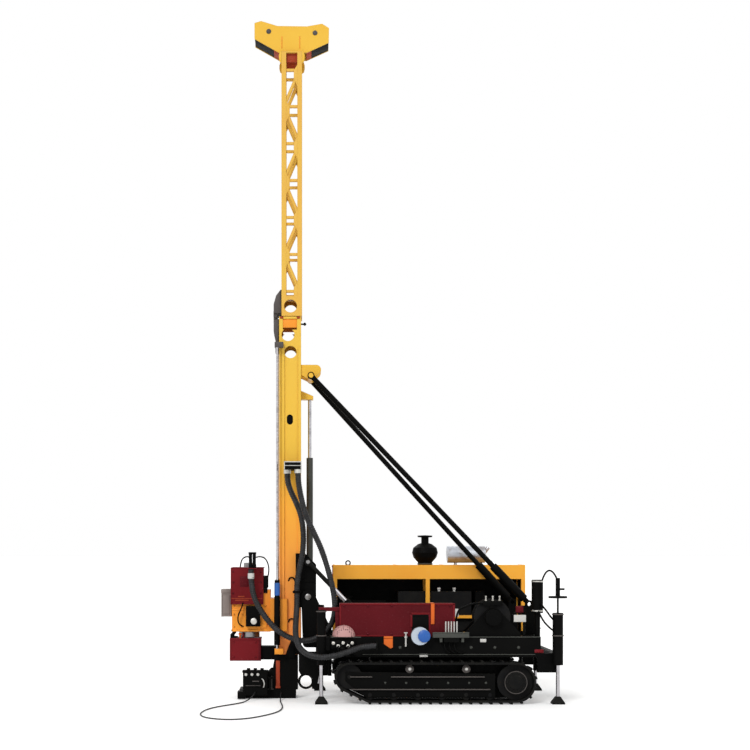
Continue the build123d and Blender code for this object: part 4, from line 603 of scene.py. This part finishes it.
# Blocks and bars with eased edges: (low corner, high corner).
BLOCKS = (
    ("hose_bracket_shell", "mast", BLACK, (
        ((-2.168, -0.646, 3.378), (-1.92, -0.322, 3.484)), ((-2.15, -0.65, 3.405), (-1.938, -0.64, 3.455)),
        ((-2.098, -0.33, 3.376), (-1.99, -0.241, 3.486)))),
    ("hose_bracket_rims", "mast", PALE, (
        ((-2.172, -0.652, 3.476), (-1.916, -0.56, 3.492)), ((-2.172, -0.652, 3.372), (-2.16, -0.56, 3.492)),
        ((-1.928, -0.652, 3.372), (-1.916, -0.56, 3.492)), ((-2.172, -0.654, 3.424), (-1.916, -0.644, 3.434)))),
    ("crown_seams", "mast_top", ORANGE, paired_blocks(
        0.184, 0.004, (-2.215, -2.203, 9.66, 9.84), (-1.95, -1.938, 9.66, 9.84))),
    # Black plates inside the mast walls behind the slot: painted shade seen through it.
    ("slot_shade_backing", "mast", BLACK, paired_blocks(0.222, 0.004, (-2.16, -2.02, 4.03, 4.24))),
    # Orange plates inside the mast walls behind the fold joint: painted shade on the inner walls seen through the
    # opening.
    ("joint_window_shade_plates", "mast", ORANGE, paired_blocks(0.22, 0.006, (-2.215, -1.965, 5.5, 5.65))),
    # Dark red-brown marks at the mast corners at the fold: painted shade in the gap between the flanges.
    ("joint_gap_shade_marks", "mast", PRIMER, paired_blocks(
        0.246, 0.008, (-2.236, -2.188, 5.632, 5.662), (-1.988, -1.94, 5.632, 5.662))),
    ("rod_top_covers", "mast", IRON_GREY, paired_blocks(0.317, 0.079, (-2.314, -2.184, 5.192, 5.266))),
    ("rod_foot_covers", "mast", ORANGE, paired_blocks(0.317, 0.079, (-2.314, -2.184, 0.664, 0.746))),
    ("mast_wear_plates", "mast", BLACK, paired_blocks(0.2415, 0.0035, (-2.014, -1.923, 0.652, 1.12))),
    ("foot_bar", "mast", PRIMER, (
        ((-2.297, -0.254, 0.17), (-2.237, -0.228, 0.56)), ((-2.303, -0.258, 0.15), (-2.231, -0.228, 0.185)))),
    ("pedal_box_trim", "mast", BLACK, (
        ((-2.79, -0.42, 0.395), (-2.41, -0.236, 0.425)), ((-2.77, -0.418, 0.18), (-2.43, -0.404, 0.192)),
        ((-2.86, -0.42, 0.01), (-2.74, -0.238, 0.12)), ((-2.42, -0.38, 0.3), (-2.33, -0.3, 0.33)),
        ((-2.4, -0.36, 0.13), (-2.37, -0.32, 0.33)))),
    ("pedal_box_seams", "mast", IRON_GREY, (
        ((-2.74, -0.424, 0.2), (-2.52, -0.408, 0.208)), ((-2.64, -0.432, 0.262), (-2.54, -0.408, 0.276)),
        ((-2.372, -0.268, 0.132), (-2.35, -0.24, 0.33)), ((-2.42, -0.262, 0.132), (-2.33, -0.24, 0.146)))),
    ("clamp_trim", "mast", CRIMSON, (
        *paired_blocks(0.185, 0.015, (-2.985, -2.517, 0.862, 0.89), (-2.985, -2.517, 0.552, 0.572)),
        ((-2.985, -0.198, 0.56), (-2.965, 0.198, 0.88)))),
    ("clamp_edge", "mast", MAROON, (
        *paired_blocks(0.191, 0.005, (-2.556, -2.522, 0.575, 0.862)),
        ((-2.8, -0.17, 0.888), (-2.772, -0.14, 0.972)))),
    ("head_valve_box", "head", BLACK, (
        ((-2.487, -0.24, 1.64), (-2.412, -0.08, 1.82)), ((-2.48, -0.23, 1.56), (-2.425, -0.1, 1.645)))),
    ("head_flange", "head", ORANGE, (
        *paired_blocks(0.215, 0.01, (-2.96, -2.49, 0.99, 1.02)),
        ((-2.96, -0.225, 0.99), (-2.94, 0.225, 1.02)), ((-2.52, -0.232, 1.045), (-2.43, -0.214, 1.18)),
        ((-2.95, -0.224, 1.3), (-2.76, -0.214, 1.33)))),
    ("guard_ledge", "head", PRIMER, (
        ((-2.964, -0.268, 1.474), (-2.484, -0.258, 1.486)), ((-2.9, -0.268, 1.445), (-2.7, -0.258, 1.462)),
        ((-2.86, -0.267, 1.5), (-2.76, -0.259, 1.52)))),
    ("guard_recess", "head", MAROON, (
        ((-2.83, -0.268, 1.655), (-2.7, -0.26, 1.81)), ((-2.815, -0.271, 1.67), (-2.715, -0.262, 1.795)))),
    ("guard_rim", "head", CRIMSON, (
        *paired_blocks(0.259, 0.009, (-2.968, -2.48, 1.926, 1.942)),
        ((-2.968, -0.268, 1.394), (-2.48, -0.252, 1.408)), ((-2.968, -0.268, 1.394), (-2.95, -0.252, 1.94)),
        ((-2.5, -0.268, 1.394), (-2.482, -0.252, 1.94)))),
    ("panel_lid", "head", GREY, (
        ((-3.116, -0.168, 1.56), (-2.958, 0.168, 1.616)), ((-3.112, -0.166, 1.205), (-3.098, 0.166, 1.6)),
        ((-3.09, -0.172, 1.25), (-2.985, -0.158, 1.53)))),
    ("carriage_straps", "carriage", BLACK, paired_blocks(
        0.302, 0.006, (-2.0, -1.72, 1.4, 1.45), (-2.0, -1.72, 1.72, 1.77))),
    ("cabinet_front_bracket", "chassis", MAROON, (
        ((-1.67, -0.86, 1.318), (-1.364, -0.8, 1.376)), ((-1.43, -0.85, 1.06), (-1.364, -0.81, 1.33)))),
    ("cabinet_frame", "chassis", CRIMSON, (
        ((-0.35, -0.892, 1.27), (-0.058, -0.878, 1.3)), ((-0.35, -0.892, 1.09), (-0.322, -0.878, 1.29)),
        ((-0.086, -0.892, 1.01), (-0.058, -0.878, 1.29)), ((-1.364, -0.888, 1.408), (0.29, -0.87, 1.434)),
        ((-1.37, -0.888, 0.956), (-1.346, -0.87, 1.43)), ((0.262, -0.888, 0.956), (0.292, -0.87, 1.43)),
        ((-1.364, -0.888, 0.954), (-0.44, -0.87, 0.976)), ((-0.02, -0.888, 0.954), (0.29, -0.87, 0.976)))),
    ("cabinet_recess", "chassis", BLACK, (
        ((-0.33, -0.884, 0.958), (-0.078, -0.876, 1.28)), ((-0.326, -0.888, 1.24), (-0.082, -0.88, 1.272)))),
    ("cabinet_strap", "chassis", SIGNAL_ORANGE, (
        ((-0.056, -0.9, 1.132), (-0.004, -0.884, 1.44)), ((-0.056, -0.9, 1.426), (-0.004, -0.7, 1.44)))),
    ("bare_plates", "chassis", PALE, (
        ((-0.222, -0.928, 0.664), (-0.104, DECK_FACE, 0.708)), ((0.648, -0.928, 0.876), (0.736, DECK_FACE, 0.924)),
        ((1.135, -0.908, 1.166), (1.31, -0.898, 1.268)), ((0.286, -0.872, 1.236), (0.346, -0.8, 1.352)))),
    ("plate_stand", "chassis", BLACK, (
        ((1.268, -0.9, 0.94), (1.302, -0.866, 1.274)), ((1.22, -0.905, 0.94), (1.35, -0.86, 0.96)),
        ((1.15, -0.899, 1.2), (1.29, -0.885, 1.24)))),
    ("rear_valve_box", "chassis", MAROON, (
        ((1.172, -0.88, 1.3), (1.276, -0.8, 1.392)), ((1.19, -0.886, 1.32), (1.258, -0.876, 1.374)))),
    ("rear_valve_bracket", "chassis", BLACK, (
        ((1.255, -0.87, 1.24), (1.3, -0.81, 1.4)), ((1.15, -0.87, 1.28), (1.3, -0.81, 1.304)))),
    ("lever_shelf", "chassis", SLATE, (
        ((-0.04, -1.034, 0.946), (0.48, DECK_FACE, 1.016)), ((-0.04, -1.04, 1.006), (0.48, -1.028, 1.026)),
        ((0.06, -1.01, 0.88), (0.1, DECK_FACE, 0.95)), ((0.37, -1.01, 0.88), (0.41, DECK_FACE, 0.95)))),
    # Thin slate strips along the deck face: painted highlight lines on its edges.
    ("deck_highlight_strips", "chassis", SLATE, (
        ((-1.04, -0.936, 0.694), (1.44, DECK_FACE, 0.706)), ((-1.5, -0.932, 0.94), (-1.06, DECK_FACE, 0.957)),
        ((0.46, -0.934, 0.944), (1.515, DECK_FACE, 0.957)))),
    ("winch_manifold", "chassis", BLACK, (
        ((0.69, -0.905, 1.4), (0.978, -0.855, 1.47)), ((0.8, -0.895, 1.33), (0.868, -0.868, 1.41)))),
    ("front_manifold", "chassis", BLACK, (
        ((-1.5, -0.99, 0.79), (-1.15, DECK_FACE, 0.9)), ((-1.36, -1.0, 0.74), (-1.29, DECK_FACE, 0.8)))),
    ("tail_lamp", "chassis", CRIMSON, (
        ((1.43, -0.925, 0.722), (1.56, -0.87, 0.772)), ((1.445, -0.932, 0.732), (1.545, -0.922, 0.762)))),
    ("door_louvres", "chassis", SLATE, tuple(
        ((x, 1.052, 1.25 + 0.055 * row), (x + 0.44, 1.074, 1.268 + 0.055 * row))
        for x in (-1.24, -0.64, 0.24, 0.84) for row in range(8))),
    ("door_seams", "chassis", SLATE, tuple(
        ((x, 1.056, 1.195), (x + 0.012, 1.068, 1.745)) for x in (-0.716, 0.756))),
    ("door_latches", "chassis", ZINC, tuple(
        ((x, 1.056, 1.43), (x + 0.03, 1.084, 1.515)) for x in (-0.76, -0.69, 0.712, 0.782))),
    ("canopy_roof_seams", "chassis", AMBER, tuple(
        ((x, 0.524, 1.962), (x + 0.03, 1.076, 1.974)) for x in (-1.432, -0.48, 0.25, 1.484))),
    ("rear_cross_straps", "chassis", SLATE, (
        ((1.7, -0.88, 0.716), (1.716, 0.88, 0.726)), ((1.48, -0.7, 0.95), (1.512, 0.5, 0.96)))),
    # Strip along the canopy's front edge: painted shade on that edge.
    ("canopy_edge_shade_strip", "chassis", PRIMER, (
        ((-1.447, 0.522, 1.15), (-1.432, 0.6, 1.96)), ((-1.447, 0.522, 1.93), (-1.432, 1.075, 1.96)))),
)
# Grey ledges along the track frames: their grey is painted highlight along the frame's edges.
for side, way in SIDES.items():
    BLOCKS += ((f"frame_ledges_{side}", "chassis", IRON_GREY, tuple(
        ((x0, way * 1.0295 - 0.0205, z), (x1, way * 1.0295 + 0.0205, z + 0.014))
        for x0, x1, z in ((-1.225, -0.905, 0.38), (-0.64, 0.7, 0.38), (-1.215, 0.78, 0.2))
    )),)

# Heights of the lattice joints from the top down, and the chords that they lie on by turns: the edge
# of the rear or the front one and the way in from it.
GUSSET_HEIGHTS = tuple(9.239 - 0.5375 * step for step in range(7))
GUSSET_CHORDS = ((-1.975, -1), (-2.15, 1))

# Plates cut to an outline: (near y, far y, (x, z) corners).
PLATES = (
    # Dark strips under the crown and linings inside its plates: painted shade under the crown and between its plates,
    # black at the ends and red-brown in the middle.
    ("crown_underside_shade", "mast_top", BLACK, (
        (-0.168, 0.168, ((-2.612, 9.806), (-2.33, 9.646), (-2.33, 9.66), (-2.612, 9.82))),
        (-0.168, 0.168, ((-1.516, 9.748), (-1.77, 9.634), (-1.77, 9.648), (-1.516, 9.762))))),
    ("crown_throat_shade", "mast_top", PRIMER, (
        (-0.168, 0.168, ((-2.33, 9.644), (-2.25, 9.6), (-2.25, 9.614), (-2.33, 9.658))),
        (-0.168, 0.168, ((-1.77, 9.632), (-1.846, 9.6), (-1.846, 9.614), (-1.77, 9.646))),
        *paired_plates(0.1975, 0.0075, ((-2.16, 9.445), (-1.965, 9.445), (-1.965, 9.61), (-2.16, 9.61))))),
    ("fold_cover_lower", "mast", IRON_GREY, tuple(
        (y, y + 0.02, ((-2.332, 5.622), (-2.332, 5.45), (-2.296, 5.29), (-2.264, 5.254), (-2.252, 5.622)))
        for y in (-0.212, -0.035, 0.015, 0.192))),
    ("fold_cover_upper", "mast_top", IRON_GREY, tuple(
        (y, y + 0.02, ((-2.332, 5.718), (-2.332, 5.85), (-2.296, 5.98), (-2.232, 6.064), (-2.216, 5.718)))
        for y in (-0.212, -0.09, 0.07, 0.192))),
    ("mast_shoe_plates", "mast", BLACK, paired_plates(
        0.2515, 0.0105, ((-2.17, 0.6), (-2.014, 0.6), (-2.014, 0.89), (-2.06, 0.89), (-2.13, 0.72)))),
    ("foot_gussets", "mast", BLACK, paired_plates(
        0.2, 0.012, ((-2.64, 0.128), (-2.372, 0.128), (-2.33, 0.42), (-2.38, 0.42)))),
    ("clamp_rest", "mast", BLACK, paired_plates(0.172, 0.01, (
        (-2.978, 0.884), (-2.978, 0.945), (-2.95, 0.972), (-2.905, 0.972), (-2.905, 0.944),
        (-2.935, 0.93), (-2.935, 0.902), (-2.88, 0.902), (-2.88, 0.884)))),
    ("deck_lug", "chassis", SIGNAL_ORANGE, (
        (-0.936, DECK_FACE, ((-0.735, 0.962), (-0.735, 0.85), (-0.64, 0.786), (-0.606, 0.8), (-0.606, 0.962))),
        (-0.95, -0.934, ((-0.735, 0.962), (-0.735, 0.935), (-0.606, 0.935), (-0.606, 0.962))))),
    ("hook_plate", "chassis", BLACK, (
        (-0.63, -0.59, ((-1.48, 0.72), (-1.958, 0.72), (-1.958, 0.44), (-1.93, 0.385), (-1.775, 0.372),
                        (-1.765, 0.18), (-1.69, 0.165), (-1.665, 0.372), (-1.48, 0.372))),
        (-0.7, -0.52, ((-1.48, 0.9), (-1.53, 0.9), (-1.53, 0.372), (-1.48, 0.372))))),
    ("crown_lugs", "mast_top", YELLOW, paired_plates(
        0.235, 0.015,
        ((-2.21, 9.6), (-2.24, 9.59), (-2.254, 9.54), (-2.254, 9.49), (-2.24, 9.44), (-2.21, 9.42)),
        ((-1.914, 9.6), (-1.884, 9.59), (-1.87, 9.54), (-1.87, 9.49), (-1.884, 9.44), (-1.914, 9.42)))),
    ("lattice_gussets", "mast_top", LATTICE_PAINT, paired_plates(0.243, 0.006, *(
        ((edge, z - 0.17), (edge + way * 0.058, z - 0.05), (edge + way * 0.058, z + 0.07), (edge, z + 0.17))
        for z, (edge, way) in zip(GUSSET_HEIGHTS, itertools.cycle(GUSSET_CHORDS))))),
    ("jack_gussets", "chassis", BLACK, paired_plates(
        0.9, 0.01, ((-1.69, 0.953), (-1.5, 0.953), (-1.5, 0.66), (-1.56, 0.66)))),
)

# A cap's steps as shares of its radius and height.
CAP = ((1.0, 0.0), (1.0, 0.6), (0.8, 0.9), (0.0, 1.0))


def cap_steps(radius, height):
    """Steps of a low round cap with its rim turned down."""
    return tuple((radius * r, height * h) for r, h in CAP)


def collar_steps(radius, height, rim=0.004):
    """Steps of a plain collar with both its rims turned down."""
    return ((radius - rim, 0.0), (radius, rim), (radius, height - rim), (radius - rim, height))


# Pieces turned on a lathe: (base, axis, (radius, height) steps).
TURNED = (
    ("sheave_axle_caps", "mast_top", IRON_GREY, tuple(
        ((x, way * 0.18, z), (0, way, 0), cap_steps(0.036, 0.014))
        for way in WAYS for x, z in ((-2.406, 9.913), (-1.717, 9.89)))),
    ("hose_collars", "mast", ZINC, tuple(
        ((x, y, 3.318), UP, collar_steps(0.052, 0.062)) for x, y in ((-2.125, -0.48), (-1.97, -0.59)))),
    ("carriage_pin_caps", "carriage", STEEL, tuple(
        ((-1.822, way * reach, z), (0, way, 0), cap_steps(radius, 0.016))
        for way in WAYS for reach, z, radius in ((0.376, 1.508, 0.046), (0.366, 2.023, 0.03)))),
    ("barrel_glands", "head", BLUE, tuple(
        ((-2.277, way * 0.36, 1.528), UP, collar_steps(0.0415, 0.188)) for way in WAYS)),
    ("hose_stub_sleeves", "head", BLACK, tuple(
        ((x, -0.415, 1.936), UP, (
            (0.03, 0.0), (0.03, 0.05), (0.025, 0.056), (0.025, 0.2), (0.029, 0.206), (0.029, 0.232)))
        for x in (-2.668, -2.612))),
    ("hose_band", "head", PALE, (((-2.66, -0.415, 1.776), UP, collar_steps(0.0475, 0.084)),)),
    ("lock_pin", "mast", BLACK, (((-1.93, -0.2, 5.555), REAR, (
        (0.012, 0.0), (0.012, 0.045), (0.024, 0.05), (0.024, 0.066), (0.008, 0.084))),)),
    ("motor_cap_disc", "head", ZINC, (((-2.621, -0.379, 1.15), NEAR, cap_steps(0.046, 0.014)),)),
    ("pedal_knobs", "mast", PALE, tuple(
        ((x, -0.408, 0.368), NEAR, cap_steps(0.022, 0.026)) for x in (-2.734, -2.646, -2.558))),
    ("clamp_knob", "mast", SIGNAL_ORANGE, (((-2.832, -0.155, 0.882), UP, (
        (0.012, 0.0), (0.012, 0.045), (0.024, 0.055), (0.024, 0.08), (0.0, 0.088))),)),
    ("filter_cap", "chassis", BLUE, (((-0.165, -1.048, 0.97), NEAR, (
        (0.09, 0.0), (0.088, 0.022), (0.06, 0.036), (0.0, 0.04))),)),
    ("filter_band", "chassis", SLATE, (((-0.22, -0.95, 0.97), NEAR, collar_steps(0.132, 0.022)),)),
    ("lever_sleeves", "chassis", PALE, tuple(
        ((x, -0.97, 1.02), UP, collar_steps(0.0098, 0.158, 0.002)) for x in (0.15, 0.19, 0.23, 0.27, 0.31))),
    ("deck_tap", "chassis", PALE, (
        ((-0.42, -0.945, 0.815), UP, (
            (0.012, 0.0), (0.012, 0.12), (0.02, 0.125), (0.02, 0.15), (0.01, 0.155), (0.01, 0.205))),
        ((-0.42, DECK_FACE, 0.86), NEAR, collar_steps(0.016, 0.03)),
        ((-0.448, -0.945, 1.012), REAR, collar_steps(0.008, 0.056)))),
    ("manifold_fittings", "chassis", ZINC, tuple(
        ((x, -0.988, z), NEAR, ((0.024, 0.0), (0.024, 0.02), (0.016, 0.024), (0.016, 0.04)))
        for x, z in ((-1.46, 0.865), (-1.39, 0.825), (-1.32, 0.868), (-1.25, 0.826), (-1.19, 0.868)))),
    ("winch_fittings", "chassis", ZINC, tuple(
        ((x, -0.88, 1.462), UP, (
            (0.018, 0.0), (0.018, 0.02), (0.011, 0.024), (0.011, 0.06), (0.016, 0.064), (0.016, 0.078)))
        for x in (0.735, 0.834, 0.933))),
    ("engine_caps", "chassis", PALE, tuple(
        ((x, 0.64, 1.556), UP, ((0.018, 0.0), (0.018, 0.03), (0.026, 0.034), (0.026, 0.06), (0.0, 0.066)))
        for x in (0.203, 0.439))),
    ("stack_collars", "chassis", ZINC, tuple(
        ((1.497, -0.75, z), UP, collar_steps(0.087, 0.022)) for z in (1.31, 1.735))),
    ("tank_filler", "chassis", BLACK, (((-1.18, 0.8, 1.416), UP, (
        (0.05, 0.0), (0.05, 0.03), (0.062, 0.034), (0.062, 0.06), (0.05, 0.068), (0.0, 0.068))),)),
)
for side, way in SIDES.items():
    out = (0, way, 0)
    TURNED += (
        (f"carrier_rollers_{side}", "chassis", IRON_GREY, tuple(
            ((x, way * 0.985, ROLLER_Z), out, (
                (0.06, 0.0), (0.06, 0.03), (0.042, 0.036), (0.042, 0.05), (0.0, 0.054))) for x in ROLLER_XS)),
        (f"carrier_caps_{side}", "chassis", PALE, tuple(
            ((x, way * 1.036, ROLLER_Z), out, cap_steps(0.022, 0.014)) for x in ROLLER_XS)),
        (f"hub_cover_{side}", "chassis", TRACK, (
            ((HUB_X, way * 1.072, HUB_Z), out, (
                (0.15, 0.0), (0.15, 0.01), (0.105, 0.014), (0.1, 0.022), (0.0, 0.026))),
        )),
    )

# Hexagon bolt heads: (place, the way it faces, radius over the corners).
BOLTS = (
    ("clamp_bolts", "mast", CRIMSON, tuple(
        ((x, -0.19, z), NEAR, 0.013) for x in (-2.93, -2.6) for z in (0.61, 0.83))),
    ("head_bolts", "head", ORANGE, tuple(
        ((x, -0.215, z), NEAR, 0.012) for x in (-2.92, -2.8, -2.45) for z in (1.06, 1.24, 1.37))),
    ("guard_bolts", "head", MAROON, tuple(
        ((x, -0.262, z), NEAR, 0.011) for x in (-2.93, -2.52) for z in (1.56, 1.72, 1.88))),
    ("cabinet_bolts", "chassis", MAROON, tuple(
        ((x, -0.886, z), NEAR, 0.011) for x in (-1.3, -0.96, -0.62, 0.05, 0.22) for z in (0.99, 1.395))),
    ("deck_bolts", "chassis", SLATE, tuple(((x, -0.92, 0.8), NEAR, 0.016) for x in (-0.92, -0.5, 0.52, 0.86, 1.2))),
)
HUB_TURNS = [2 * math.pi * step / HUB_BOLTS for step in range(HUB_BOLTS)]
for side, way in SIDES.items():
    out = (0, way, 0)
    BOLTS += (
        (f"hub_bolts_{side}", "chassis", TRACK, tuple((
            (HUB_X + HUB_BOLT_RING * math.cos(turn), way * 1.08, HUB_Z + HUB_BOLT_RING * math.sin(turn)), out, 0.015)
            for turn in HUB_TURNS)),
        (f"frame_bolts_{side}", "chassis", SLATE, tuple(
            ((x, way * 1.011, 0.3), out, 0.013) for x in (-0.72, -0.42, -0.12, 0.18, 0.48, 0.72))),
    )

# Bent pipes: (radius, points).
PIPES = (
    ("head_pipes", "head", BLACK, (
        (0.01, ((-2.83, -0.2, 1.93), (-2.82, -0.2, 2.04), (-2.76, -0.23, 2.1), (-2.68, -0.33, 2.1),
                (-2.664, -0.4, 2.06))),
        (0.01, ((-2.612, -0.4, 2.08), (-2.56, -0.3, 2.11), (-2.44, -0.22, 2.08), (-2.39, -0.2, 1.9),
                (-2.42, -0.18, 1.8))),
        (0.01, ((-2.785, -0.258, 1.42), (-2.8, -0.3, 1.35), (-2.865, -0.3, 1.22), (-2.85, -0.27, 1.09),
                (-2.78, -0.21, 1.06))))),
    ("mast_pipe_arcs", "mast", BLACK, tuple(
        (0.01, ((-2.112, -0.238, z), (-2.1, -0.258, z + 0.045), (-2.06, -0.262, z + 0.055),
                (-2.028, -0.258, z + 0.045), (-2.018, -0.238, z))) for z in (1.13, 1.74))),
    ("pedal_handle", "mast", PALE, (
        (0.008, ((-2.5, -0.405, 0.3), (-2.49, -0.45, 0.31), (-2.46, -0.46, 0.25), (-2.47, -0.45, 0.19),
                 (-2.48, -0.405, 0.18))),
    )),
    ("winch_line", "chassis", BLACK, (
        (0.015, ((0.31, -0.86, 1.18), (0.32, -0.88, 1.33), (0.44, -0.89, 1.39), (0.58, -0.885, 1.44),
                 (0.7, -0.88, 1.436))),
    )),
    ("valve_lines", "chassis", BLACK, (
        (0.013, ((1.56, -0.79, 1.76), (1.6, -0.83, 1.9), (1.69, -0.95, 1.91), (1.735, -1.0, 1.79))),
        (0.013, ((1.5, -0.825, 1.32), (1.54, -0.9, 1.2), (1.64, -0.96, 1.08), (1.7, -0.96, 1.04))),
        (0.013, ((1.54, -0.815, 1.42), (1.6, -0.92, 1.33), (1.66, -0.97, 1.23), (1.705, -0.965, 1.19))))),
    ("lever_lines", "chassis", BLACK, tuple(
        (0.012, ((x, -0.96, 0.89), (x, -0.985, 0.79), (x + 0.05, -0.985, 0.73), (x + 0.12, -0.96, 0.72),
                 (x + 0.16, -0.915, 0.73))) for x in (0.13, 0.2, 0.27))),
    ("manifold_lines", "chassis", BLACK, tuple(
        (0.014, ((x, -1.022, z), (x - 0.01, -1.06, z - 0.02), (x + 0.02, -1.04, z - 0.12),
                 (x + 0.08, -0.96, z - 0.15), (x + 0.1, -0.915, z - 0.14)))
        for x, z in ((-1.39, 0.825), (-1.25, 0.826)))),
)

# Rings bent from round bar: (centre, axis, radius to the bar's middle, bar radius).
RINGS = (
    ("cleaner_bands", "chassis", SLATE, (((0.0, 0.8, 1.985), UP, 0.108, 0.012),)),
    *((f"hub_rims_{side}", "chassis", IRON_GREY, (((HUB_X, way * 1.079, HUB_Z), NEAR, 0.158, 0.006),))
      for side, way in SIDES.items()),
    ("jack_collars", "chassis", IRON_GREY, tuple(
        ((x, way, z), UP, radius, 0.008) for way in WAYS
        for x, z, radius in (
            (-1.633, 1.32, 0.068), (-1.633, 0.975, 0.068), (1.75, 1.28, 0.078), (1.75, 0.975, 0.078)))),
    ("tow_ring", "chassis", BLACK, (((-1.851, -0.61, 0.29), FAR, 0.1, 0.018),)),
    ("canopy_eyes", "chassis", BLACK, tuple(((x, 0.8, 1.998), FAR, 0.034, 0.011) for x in (-1.197, 1.012))),
    ("deck_ring", "chassis", BRASS, (((0.41, -1.02, 0.997), NEAR, 0.026, 0.007),)),
    ("drum_rope", "winch", STEEL, tuple(
        ((0.834, -0.82 + 0.0185 * turn, 1.232), FAR, 0.148, 0.0092) for turn in range(14))),
)

# Washer, head and rounded top of a bolt: (share of its radius, height), from a little below the face.
BOLT_STEPS = ((1.5, 0), (1.5, 0.007), (1, 0.0075), (1, 0.016), (0.8, 0.019))
BOLT_SUNK, HEXAGON = 0.004, 6
PIPE_STEP, PIPE_SIDES = 0.015, 12
RING_STEPS, RING_SIDES = 40, 10


def bolt_head(mesh, place, axis, radius):
    """Hexagon head on its washer."""
    start = Vector(place) - Vector(axis) * BOLT_SUNK
    turn_piece(mesh, start, axis, tuple((radius * share, height) for share, height in BOLT_STEPS), HEXAGON)


def bent_pipe(mesh, radius, points):
    """Round pipe along a smooth route."""
    tube_rings(mesh, route_points(points, PIPE_STEP), lambda run, turn: radius, PIPE_SIDES)


def bent_ring(mesh, centre, axis, radius, bar):
    """Ring of round bar about an axis."""
    axis = Vector(axis).normalized()
    across = axis.orthogonal().normalized()
    up = axis.cross(across)
    turns = [2 * math.pi * step / RING_STEPS for step in range(RING_STEPS + 1)]
    line = [Vector(centre) + (across * math.cos(turn) + up * math.sin(turn)) * radius for turn in turns]
    tube_rings(mesh, line, lambda run, turn: bar, RING_SIDES)


for table, make_shape in (
    (BLOCKS, eased_block), (PLATES, cut_plate), (TURNED, turn_piece), (BOLTS, bolt_head), (PIPES, bent_pipe),
    (RINGS, bent_ring),
):
    for name, body, finish, shapes in table:
        mesh = bmesh.new()
        for shape in shapes:
            make_shape(mesh, *shape)
        piece(name, mesh, finish, body)

# Pressed mesh dome over the front fan, cut off at the deck.
DOME_STEPS, DOME_SIDES = ((0.168, 0.0), (0.164, 0.03), (0.14, 0.07), (0.09, 0.095), (0.0, 0.105)), 40
WELD = 0.0005
mesh = bmesh.new()
turn_piece(mesh, (-1.31, -0.872, DECK_TOP), NEAR, DOME_STEPS, DOME_SIDES)
bmesh.ops.bisect_plane(
    mesh, geom=mesh.verts[:] + mesh.edges[:] + mesh.faces[:], plane_co=(0, 0, DECK_TOP), plane_no=(0, 0, -1),
    clear_outer=True)
bmesh.ops.remove_doubles(mesh, verts=mesh.verts, dist=WELD)
bmesh.ops.holes_fill(mesh, edges=[edge for edge in mesh.edges if edge.is_boundary])
bmesh.ops.dissolve_degenerate(mesh, dist=WELD, edges=mesh.edges)
piece("fan_dome", mesh, MESH_GUARD, "chassis")
